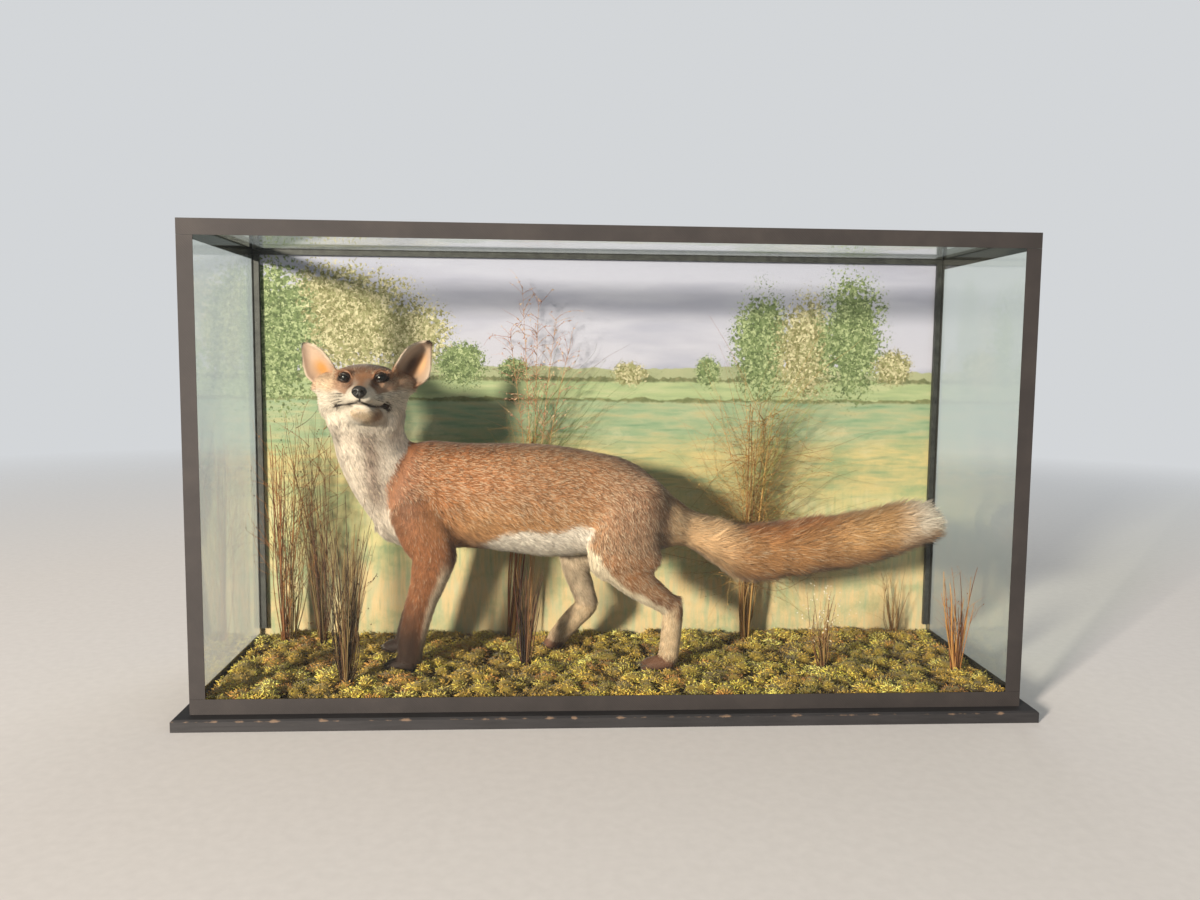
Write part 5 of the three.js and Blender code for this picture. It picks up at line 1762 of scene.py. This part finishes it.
def tuft_roots(density_per_cm2, seed):
    """Roots spread over the skin: triangle and share of each corner."""
    chance = np.random.default_rng(seed)
    weight = triangle_area * density_per_cm2[triangles].mean(1) * 1e4
    total = int(weight.sum())
    places = (np.arange(total) + chance.uniform(0, 1, total)) / total
    chosen = np.searchsorted(np.cumsum(weight) / weight.sum(), places)
    chosen = np.minimum(chosen, len(triangles) - 1)
    one, two = chance.uniform(0, 1, (2, total))
    swap = one + two > 1
    one, two = np.where(swap, 1 - one, one), np.where(swap, 1 - two, two)
    return chosen, np.stack([1 - one - two, one, two], 1)


def at_roots(field, chosen, shares):
    """A field of the skin's points read at the roots."""
    corners = field[triangles[chosen]]
    if corners.ndim == 2:
        return (corners * shares).sum(1)
    return (corners * shares[..., None]).sum(1)


# Keratin hairs in the coat's own colours, with a weak sheen.
fox_fur, shader = start_material(
    "fox_guard_hair_and_underfur", Roughness=0.62, IOR=1.55, Specular_IOR_Level=0.22,
    Sheen_Weight=0.12, Sheen_Roughness=0.5,
)
paint = add(fox_fur, "VertexColor", layer_name="coat")
join(fox_fur, paint, "Color", shader, "Base Color")

# A tuft's corners: how far along it, how far to each side, how far above its middle line.
LONG_TUFT = np.array([(0, 0, 0), (0.42, -0.5, 0), (0.42, 0.5, 0), (0.42, 0, 0.28), (1, 0, 0.05)])
LONG_FACES = [(0, 2, 1), (0, 3, 2), (0, 1, 3), (1, 2, 4), (2, 3, 4), (3, 1, 4)]
SHORT_TUFT = np.array([(0, -0.5, 0), (0, 0.5, 0), (0, 0, 0.4), (1, 0, 0.05)])
SHORT_FACES = [(2, 1, 0), (0, 1, 3), (1, 2, 3), (2, 0, 3)]


MOST_TRIANGLES = 200000


def coat(name, density_map, template, faces, seed, grizzle=0.5):
    """Tufts over part of the skin, as pieces of fewer than the most triangles each."""
    chance = np.random.default_rng(seed)
    chosen, shares = tuft_roots(density_map, seed)
    root = at_roots(points, chosen, shares)
    order = np.argsort(root[:, 0] + 0.3 * (root[:, 1] > 0.01))
    chosen, shares, root = chosen[order], shares[order], root[order]
    total = len(root)
    normal = at_roots(soft_outward, chosen, shares)
    normal = unit_way(normal)
    way = at_roots(lie, chosen, shares)
    turn = chance.normal(0, 0.13, total) + 0.22 * soft_noise(root, 0.012, seed + 1)
    across = np.cross(normal, way)
    across = unit_way(across)
    way = np.cross(across, normal)
    way = way * np.cos(turn)[:, None] + across * np.sin(turn)[:, None]
    across = np.cross(normal, way)
    length = at_roots(hair, chosen, shares) / 1000 * chance.uniform(0.72, 1.12, total)
    length = length * (1 + 0.15 * soft_noise(root, 0.02, seed + 2))
    angle = np.radians(at_roots(lift, chosen, shares)) * chance.uniform(0.6, 1.35, total)
    wide = at_roots(width, chosen, shares) / 1000 * chance.uniform(0.7, 1.25, total)
    curl = chance.normal(0, 0.10, total)
    # Bend: the tuft leaves the skin at its own lift and lies down towards its tip.
    t = template[:, 0][None, :, None]
    forward_run = way[:, None] * (length * np.cos(angle))[:, None, None] * t
    sag = t - 0.42 * t**2
    up_run = normal[:, None] * (length * np.sin(angle))[:, None, None] * sag * 1.45
    side_run = across[:, None] * (length * curl)[:, None, None] * t**2
    middle = (root - normal * 0.0012)[:, None] + forward_run + up_run + side_run
    spread_out = across[:, None] * (template[:, 1][None] * wide[:, None])[..., None]
    raised = normal[:, None] * (template[:, 2][None] * wide[:, None])[..., None]
    corners = middle + spread_out + raised
    # Colour: dark warm root, the coat's own tone, and pale, dark or plain tips.
    tone = at_roots(coat_colour, chosen, shares)
    tone = tone * (1 + 0.26 * soft_noise(root, 0.007, seed + 3))[:, None]
    vary = 0.34 - 0.14 * np.clip(tone.mean(1) / 0.55, 0, 1)
    tone = tone * (1 + vary * chance.uniform(-1, 1, total))[:, None]
    pale = at_roots(grizzled, chosen, shares) * grizzle
    draw = chance.uniform(0, 1, total)
    pale_tip = draw < pale
    dark_tip = (draw > 1 - 0.45 * pale) & ~pale_tip
    tip = tone * 1.08
    brightness = np.clip(tone.mean(1) / 0.16, 0.1, 1)[:, None] * 0.7
    pale_tone = tone * (1 - brightness) + brightness * np.array(linear("#e8d3b6"))
    tip[pale_tip] = pale_tone[pale_tip]
    tip[dark_tip] = 0.45 * tone[dark_tip] + 0.55 * np.array(linear("#4a3222"))
    pallor = np.clip(tone.mean(1) / 0.55, 0, 1)[:, None]
    base = tone * (np.array([0.42, 0.38, 0.36]) * (1 - pallor) + 0.8 * pallor)
    colour = np.where(
        t < 0.5,
        base[:, None] + (tone - base)[:, None] * t * 2,
        tone[:, None] + (tip - tone)[:, None] * (t - 0.5) * 2,
    )
    # A patch of the unwrap for each tuft, about its root.
    home = (triangle_unwrap[chosen] * shares[..., None]).sum(1)
    patch = np.stack([template[:, 1], template[:, 0] - 0.5], 1) * 0.003
    per_piece = min(total, MOST_TRIANGLES // len(faces) - 1)
    for number, start in enumerate(range(0, total, per_piece)):
        part = slice(start, min(start + per_piece, total))
        amount = len(root[part])
        shift = (np.arange(amount) * len(template))[:, None]
        loops = (shift + np.array(faces).reshape(1, -1)).reshape(-1, 3)
        piece = mesh_from(f"{name}_{number + 1}", corners[part].reshape(-1, 3), loops)
        mesh = piece.data
        put_colours(piece, "coat", np.maximum(colour[part].reshape(-1, 3), 0.002))
        uv = mesh.uv_layers.new(name="OFBake")
        uv_points = (home[part][:, None] + patch[None]).reshape(-1, 2)
        uv_corners = np.clip(uv_points[loops.reshape(-1)], 0, 1)
        uv.uv.foreach_set("vector", uv_corners.astype(np.float32).reshape(-1))
        own = across[part][:, None] * template[:, 1][None, :, None]
        own = own + normal[part][:, None] * (template[:, 2][None, :, None] - 0.12)
        relief = 0.9 - 0.45 * np.clip(tone[part].mean(1) / 0.5, 0, 1)[:, None, None]
        own = normal[part][:, None] * 0.85 + own * relief + way[part][:, None] * 0.15
        own = own.reshape(-1, 3)
        own = unit_way(own)
        mesh.shade_smooth()
        mesh.normals_split_custom_set_from_vertices(own.astype(np.float32))
        mesh.materials.append(fox_fur)
        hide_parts(*FLESH)
        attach(piece, "root")


soft_outward = spread(outward, 6)
soft_outward = unit_way(soft_outward)
grizzled = (
    0.75 * belongs["trunk"] * ramp(height_on_body, 0.2, 0.5)
    + 0.55 * belongs["thigh"]
    + 0.25 * belongs["shank"]
    + 0.30 * belongs["head"]
    + 0.22 * belongs["tail"]
    + 0.15 * belongs["neck"]
    + 0.30 * (belongs["hindfoot"] + belongs["shank"])
    + 0.06 * belongs["foreleg"]
)
short = belongs["head"] + belongs["jaw"] + belongs["forepaw"] + belongs["hindpaw"]
short = short + belongs["foreleg"] + belongs["shank"] + belongs["hindfoot"] + belongs["ear"]
short = ramp(short, 0.35, 0.65)
short = short * (1 - ruff_map)
in_mouth = 1 - hump(groove * 30, 0, 2.2)
at_eye = np.ones(count)
for centre, gaze, slit, rise_way in eyes.values():
    away = (points - centre) * 1000
    beside = np.sqrt((away @ slit) ** 2 + (1.22 * (away @ rise_way)) ** 2)
    beside = np.where(away @ gaze > -2, beside, 30)
    inward = ramp(-(away @ slit), 0, 8) * 2.2
    at_eye = at_eye * ramp(beside - inward, 10.4, 11.8)
bare = in_mouth * at_eye * ramp(np.linalg.norm(points - on_head(66, 0, -21), axis=1) * 1000, 11, 14)
coat("coat_long", density * (1 - short) * bare * 0.93, LONG_TUFT, LONG_FACES, 11)
coat("coat_short", density * short * bare * 1.76, SHORT_TUFT, SHORT_FACES, 21, 0.6)

# ---- Fox: eyes ----
# Glass taxidermy eyes, 19 mm: a dark amber iris with an upright pupil painted behind clear glass,
# set in a clay socket. The rims of the lids are bare black skin, painted to look wet.
eye_glass, shader = start_material(
    "painted_glass_eye", Roughness=0.3, IOR=1.4, Coat_Weight=0.6, Coat_Roughness=0.08
)
around = add(eye_glass, "Attribute", attribute_name="from_pupil")
rays = add(eye_glass, "Attribute", attribute_name="round_pupil")
fibres = add(eye_glass, "TexNoise", {"Scale": 14, "Detail": 3}, {"W": (rays, 2)}, noise_dimensions="1D")
iris = add(eye_glass, "ValToRGB", {}, {"Fac": fibres}, [(0.3, "#100a06"), (0.7, "#291a0c")])
rings = add(
    eye_glass, "ValToRGB", {}, {"Fac": (around, 2)},
    [(0.50, "#000000"), (0.58, "#ffffff"), (0.70, "#ffffff"), (0.82, "#000000")],
)
painted = add(eye_glass, "Mix", {"A": "#070504"}, {"Factor": rings, "B": iris}, data_type="RGBA")
join(eye_glass, painted, 2, shader, "Base Color")
lid_skin, shader = start_material("bare_black_skin", Roughness=0.38)
pores = mottle(lid_skin, shader, 1400, 3, (0.3, "#15100e"), (0.7, "#2c211d"))
emboss(lid_skin, shader, 0.4, 0.0003, pores)

for name, (centre, gaze, slit, rise) in eyes.items():
    bpy.ops.object.select_all(action="DESELECT")
    bpy.ops.mesh.primitive_uv_sphere_add(segments=48, ring_count=32, radius=EYE_RADIUS / 1000)
    ball = bpy.context.object
    ball.name = ball.data.name = "fox_glass_eye_" + name
    local = all_points(ball.data)
    # The sphere's poles lie on the gaze, and the cornea stands a little proud.
    from_axis = np.arccos(np.clip(local[:, 2] * 1000 / EYE_RADIUS, -1, 1))
    turned = np.arctan2(local[:, 1], local[:, 0])
    bulge = 1 + 0.07 * hump(from_axis, 0, 0.62)
    placed = (
        local[:, 2:] * gaze + local[:, :1] * slit + local[:, 1:2] * rise * np.sign(
            np.dot(np.cross(slit, rise), gaze)
        )
    )
    put_points(ball.data, centre + placed * bulge[:, None])
    upright = np.sqrt((np.cos(turned) * 1.25) ** 2 + (np.sin(turned) * 0.88) ** 2)
    reach = from_axis * np.where(from_axis < 0.5, upright, 1.0)
    for label, values in (("from_pupil", reach), ("round_pupil", turned)):
        layer = ball.data.attributes.new(label, "FLOAT", "POINT")
        layer.data.foreach_set("value", values.astype(np.float32))
    ball.data.shade_smooth()
    ball.data.materials.append(eye_glass)
    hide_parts("fox_eye_" + name)
    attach(ball, "root")
    # Rims of the lids: an almond, drawn out to the tear corner by the nose.
    turns = np.linspace(0, 2 * math.pi, 61)[:-1]
    along = 9.9 * np.cos(turns)
    above = np.where(np.sin(turns) > 0, 5.2, 5.3) * np.sign(np.sin(turns)) * abs(np.sin(turns)) ** 1.15
    tear = hump(along, -9.6, 2.6)
    along = along - 2.4 * tear
    above = above - 2.2 * tear
    rim_radius = EYE_RADIUS + 0.9
    ahead = np.sqrt(np.clip(rim_radius**2 - along**2 - above**2, 4, None))
    loop = centre + (along[:, None] * slit + above[:, None] * rise + ahead[:, None] * gaze) / 1000
    thick = (1.1 + 0.5 * np.clip(np.sin(turns), 0, 1)) / 1000
    one = np.gradient(np.vstack([loop[-1:], loop, loop[:1]]), axis=0)[1:-1]
    one = unit_way(one)
    out = (loop - centre) / np.linalg.norm(loop - centre, axis=1)[:, None]
    beside = np.cross(one, out)
    rings = [
        loop + thick[:, None] * (math.cos(a) * out + math.sin(a) * beside)
        for a in np.linspace(0, 2 * math.pi, 9)[:-1]
    ]
    rim_points = np.stack(rings, 1)
    grid = np.arange(60 * 8).reshape(60, 8)
    ahead_grid, side_grid = np.roll(grid, -1, 0), np.roll(grid, -1, 1)
    quads = np.stack([grid, side_grid, np.roll(side_grid, -1, 0), ahead_grid], -1).reshape(-1, 4)
    rim = mesh_from("fox_lid_rim_" + name, rim_points.reshape(-1, 3), quads)
    rim.data.shade_smooth()
    bpy.context.view_layer.objects.active = rim
    bpy.ops.object.select_all(action="DESELECT")
    rim.select_set(True)
    bpy.ops.object.mode_set(mode="EDIT")
    bpy.ops.mesh.select_all(action="SELECT")
    bpy.ops.mesh.normals_make_consistent(inside=False)
    bpy.ops.object.mode_set(mode="OBJECT")
    rim.data.materials.append(lid_skin)
    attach(rim, "root")

# ---- Fox: nose and mouth ----
# The nose pad is bare leather, painted black and waxed: broad above, pinched in below, with comma
# shaped nostrils. The lips are bare black skin along the closed mouth.
bpy.ops.object.select_all(action="DESELECT")
bpy.ops.mesh.primitive_uv_sphere_add(segments=64, ring_count=40, radius=1)
nose = bpy.context.object
nose.name = nose.data.name = "fox_nose_pad"
local = all_points(nose.data)
ahead, across, over_way = -local[:, 1], local[:, 0], local[:, 2]
ahead = np.sign(ahead) * abs(ahead) ** 0.85
wide = 11.8 * (1 - 0.22 * ramp(-over_way, 0.0, 1.0)) * across
tall = 10.2 * over_way - 0.6
deep = 9.5 * ahead
# Nostrils: a round pit and a slit that runs out of it to the side, and a groove below the middle.
for side in (1, -1):
    for l_place, u_place, reach, depth_mm in (
        (5.2, 0.2, 2.5, 5.2), (7.6, -1.6, 1.9, 3.6), (9.4, -2.6, 1.5, 2.4),
    ):
        share = np.exp(-(((wide - side * l_place) ** 2 + (tall - u_place) ** 2) / reach**2))
        deep = deep - depth_mm * share * (ahead > 0)
    wing = np.exp(-(((wide - side * 7.2) ** 2 + (tall - 3.6) ** 2) / 9.0))
    deep = deep + 0.8 * wing * (ahead > 0)
deep = deep - 1.5 * hump(wide, 0, 1.0) * ramp(-tall, -2, 3) * (ahead > 0)
placed = [on_head(66.5 + d, w, -20.5 + t) for d, w, t in zip(deep, wide, tall)]
put_points(nose.data, np.array(placed))
nose.data.shade_smooth()
leather, shader = start_material(
    "waxed_nose_leather", Roughness=0.42, Coat_Weight=0.25, Coat_Roughness=0.3
)
mottle(leather, shader, 120, 4, (0.3, "#141110"), (0.75, "#332d2b"))
place = add(leather, "TexCoord")
grain = add(leather, "TexVoronoi", {"Scale": 900}, {"Vector": (place, "Object")})
emboss(leather, shader, 0.55, 0.0005, grain)
nose.data.materials.append(leather)
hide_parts("fox_nose")
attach(nose, "root")

# Lips: the upper lip hangs over the lower one, thickest below the nose and at each corner.
final_skin = BVHTree.FromPolygons(points.tolist(), triangles.tolist())
lip_runs, lip_thick = [], []
for path in lip_path:
    for drop, size in ((0.0, 0.62), (-1.1, 0.55)):
        run = []
        for point in path[::2]:
            spot = Vector(point + np.array([0, 0, drop / 1000]))
            hit = final_skin.ray_cast(spot - TO_FACE * 0.03, TO_FACE)
            run.append(np.array(hit[0] or spot) + np.array([0, 0, 0.0002]))
        share = np.linspace(0, 1, len(run))
        lip_runs.append(np.array(run))
        swell = 1.8 * ramp(share, 0.74, 0.95) + 0.25 * np.sin(share * 17) * share
        parted = 0.9 * hump(share, 0.22, 0.11) * (path is lip_path[1])
        lip_thick.append(size / 1000 * (1.05 + swell + parted))
run_array = np.array(lip_runs)
for _ in range(8):
    run_array[:, 1:-1] = (run_array[:, :-2] + 2 * run_array[:, 1:-1] + run_array[:, 2:]) / 4
lips = tube_mesh("fox_lips", run_array, np.array(lip_thick), 10)
lips.data.materials.append(lid_skin)
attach(lips, "root")
crease = []
for ahead, height in ((72, -29), (70, -31), (68, -33), (67, -35.5), (66, -38)):
    hit = final_skin.find_nearest(Vector(on_head(ahead, 0, height)))
    crease.append(np.array(hit[0]) + 0.0002 * np.array(hit[1]))
philtrum = tube_mesh("fox_philtrum", [crease], np.array([[1.1, 1.0, 1.0, 1.1, 1.0]]) / 1000, 10)
philtrum.data.materials.append(lid_skin)
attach(philtrum, "root")

# ---- Fox: whiskers ----
# Stiff bristles in rows on each side of the muzzle, some dark and some pale.
chance = np.random.default_rng(5)
whisker_runs, whisker_thick = [], []
for side in (1, -1):
    for row in range(4):
        for column in range(5):
            start_at = on_head(52 - 6.5 * column + chance.normal(0, 1), side * 30, -24 - 4.2 * row)
            hit = final_skin.find_nearest(Vector(start_at))
            root = np.array(hit[0]) - np.array(hit[1]) * 0.001
            out = (
                side * HEAD_LEFT * (0.9 - 0.05 * column) - HEAD_FORWARD * (0.25 + 0.16 * column)
                + np.array([0, 0, 0.16 - 0.11 * row])
            ) + chance.normal(0, 0.06, 3)
            out = unit_way(out)
            length = (24 + 8 * column + chance.uniform(-5, 8)) / 1000
            share = np.linspace(0, 1, 9)[:, None]
            droop = np.array([0, 0, -1.0]) - 0.4 * HEAD_FORWARD
            whisker_runs.append(root + out * length * share + droop * length * 0.16 * share**2)
            whisker_thick.append((0.34 - 0.26 * share[:, 0]) / 1000)
whiskers = tube_mesh("fox_whiskers", whisker_runs, whisker_thick, 5)
bristle, shader = start_material("whisker_bristle", Roughness=0.4)
mottle(bristle, shader, 60, 1, (0.45, "#2c211b"), (0.6, "#d8ccbb"))
whiskers.data.materials.append(bristle)
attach(whiskers, "root")

# ---- Fox: claws ----
# Blunt dark horn claws, one on each toe, half sunk in the fur and the moss.
claw_runs, claw_thick = [], []
for spot in on_toes(0.004, 0.014):
    share = np.linspace(0, 1, 6)[:, None]
    droop = np.array([0, 0, -0.006]) * share**2
    claw_runs.append(np.array(spot) + np.array([-0.012, 0, 0.001]) * share + droop)
    claw_thick.append((1.7 - 1.5 * share[:, 0] ** 1.5) / 1000)
claws = tube_mesh("fox_claws", claw_runs, claw_thick, 8, 0.8)
horn, shader = start_material("dark_horn", Roughness=0.35)
mottle(horn, shader, 300, 3, (0.3, "#241d18"), (0.75, "#574a3d"))
claws.data.materials.append(horn)
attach(claws, "root")

# ---- Glass ----
# Old float glass, 4 mm, cut to size: a front, two ends and a lid, held by the tape along the edges.
# It is clear with a slight green cast, and the lamps shine through it with no shadow.
glass, shader = start_material(
    "old_float_glass", Roughness=0.03, IOR=1.5, Base_Color="#f6f9f5", Transmission_Weight=1,
    Specular_Tint=(0.3, 0.3, 0.3, 1),
)
clear = add(glass, "BsdfTransparent", {"Color": "#f7f9f6"})
path = add(glass, "LightPath")
seen = reckon(glass, "MAXIMUM", path, (path, "Is Transmission Ray"))
pane_mix = add(glass, "MixShader", {}, {0: seen, 1: clear, 2: shader})
output = glass.node_tree.nodes["Material Output"]
glass.node_tree.links.new(pane_mix.outputs[0], output.inputs["Surface"])
for side in ("front", "left", "right", "top"):
    dress(nodes["case_glass_" + side], glass)

# ---- Binding ----
# Black cloth tape, 24 mm on each leg, folded round every edge of the box and glued down. The cloth
# has faded to a dusty grey-brown.
tape, shader = start_material("black_cloth_tape", Roughness=0.7)
place = add(tape, "TexCoord")
threads = add(
    tape, "TexWave", {"Scale": 160, "Distortion": 0.6}, {"Vector": (place, "Object")},
    bands_direction="DIAGONAL",
)
cloud = noise(tape, (place, "Object"), 11, 7, 0.65)
faded = add(
    tape, "ValToRGB", {}, {"Fac": cloud},
    [(0.25, "#1c1917"), (0.5, "#262220"), (0.8, "#342f2b")],
)
join(tape, faded, "Color", shader, "Base Color")
relief = add(tape, "Bump", {"Strength": 0.35, "Distance": 0.0004}, {"Height": threads})
creases = add(
    tape, "Bump", {"Strength": 0.6, "Distance": 0.0012}, {"Height": cloud, "Normal": relief}
)
join(tape, creases, "Normal", shader, "Normal")
for name, node in nodes.items():
    if name.startswith("case_binding"):
        dress(node, tape)
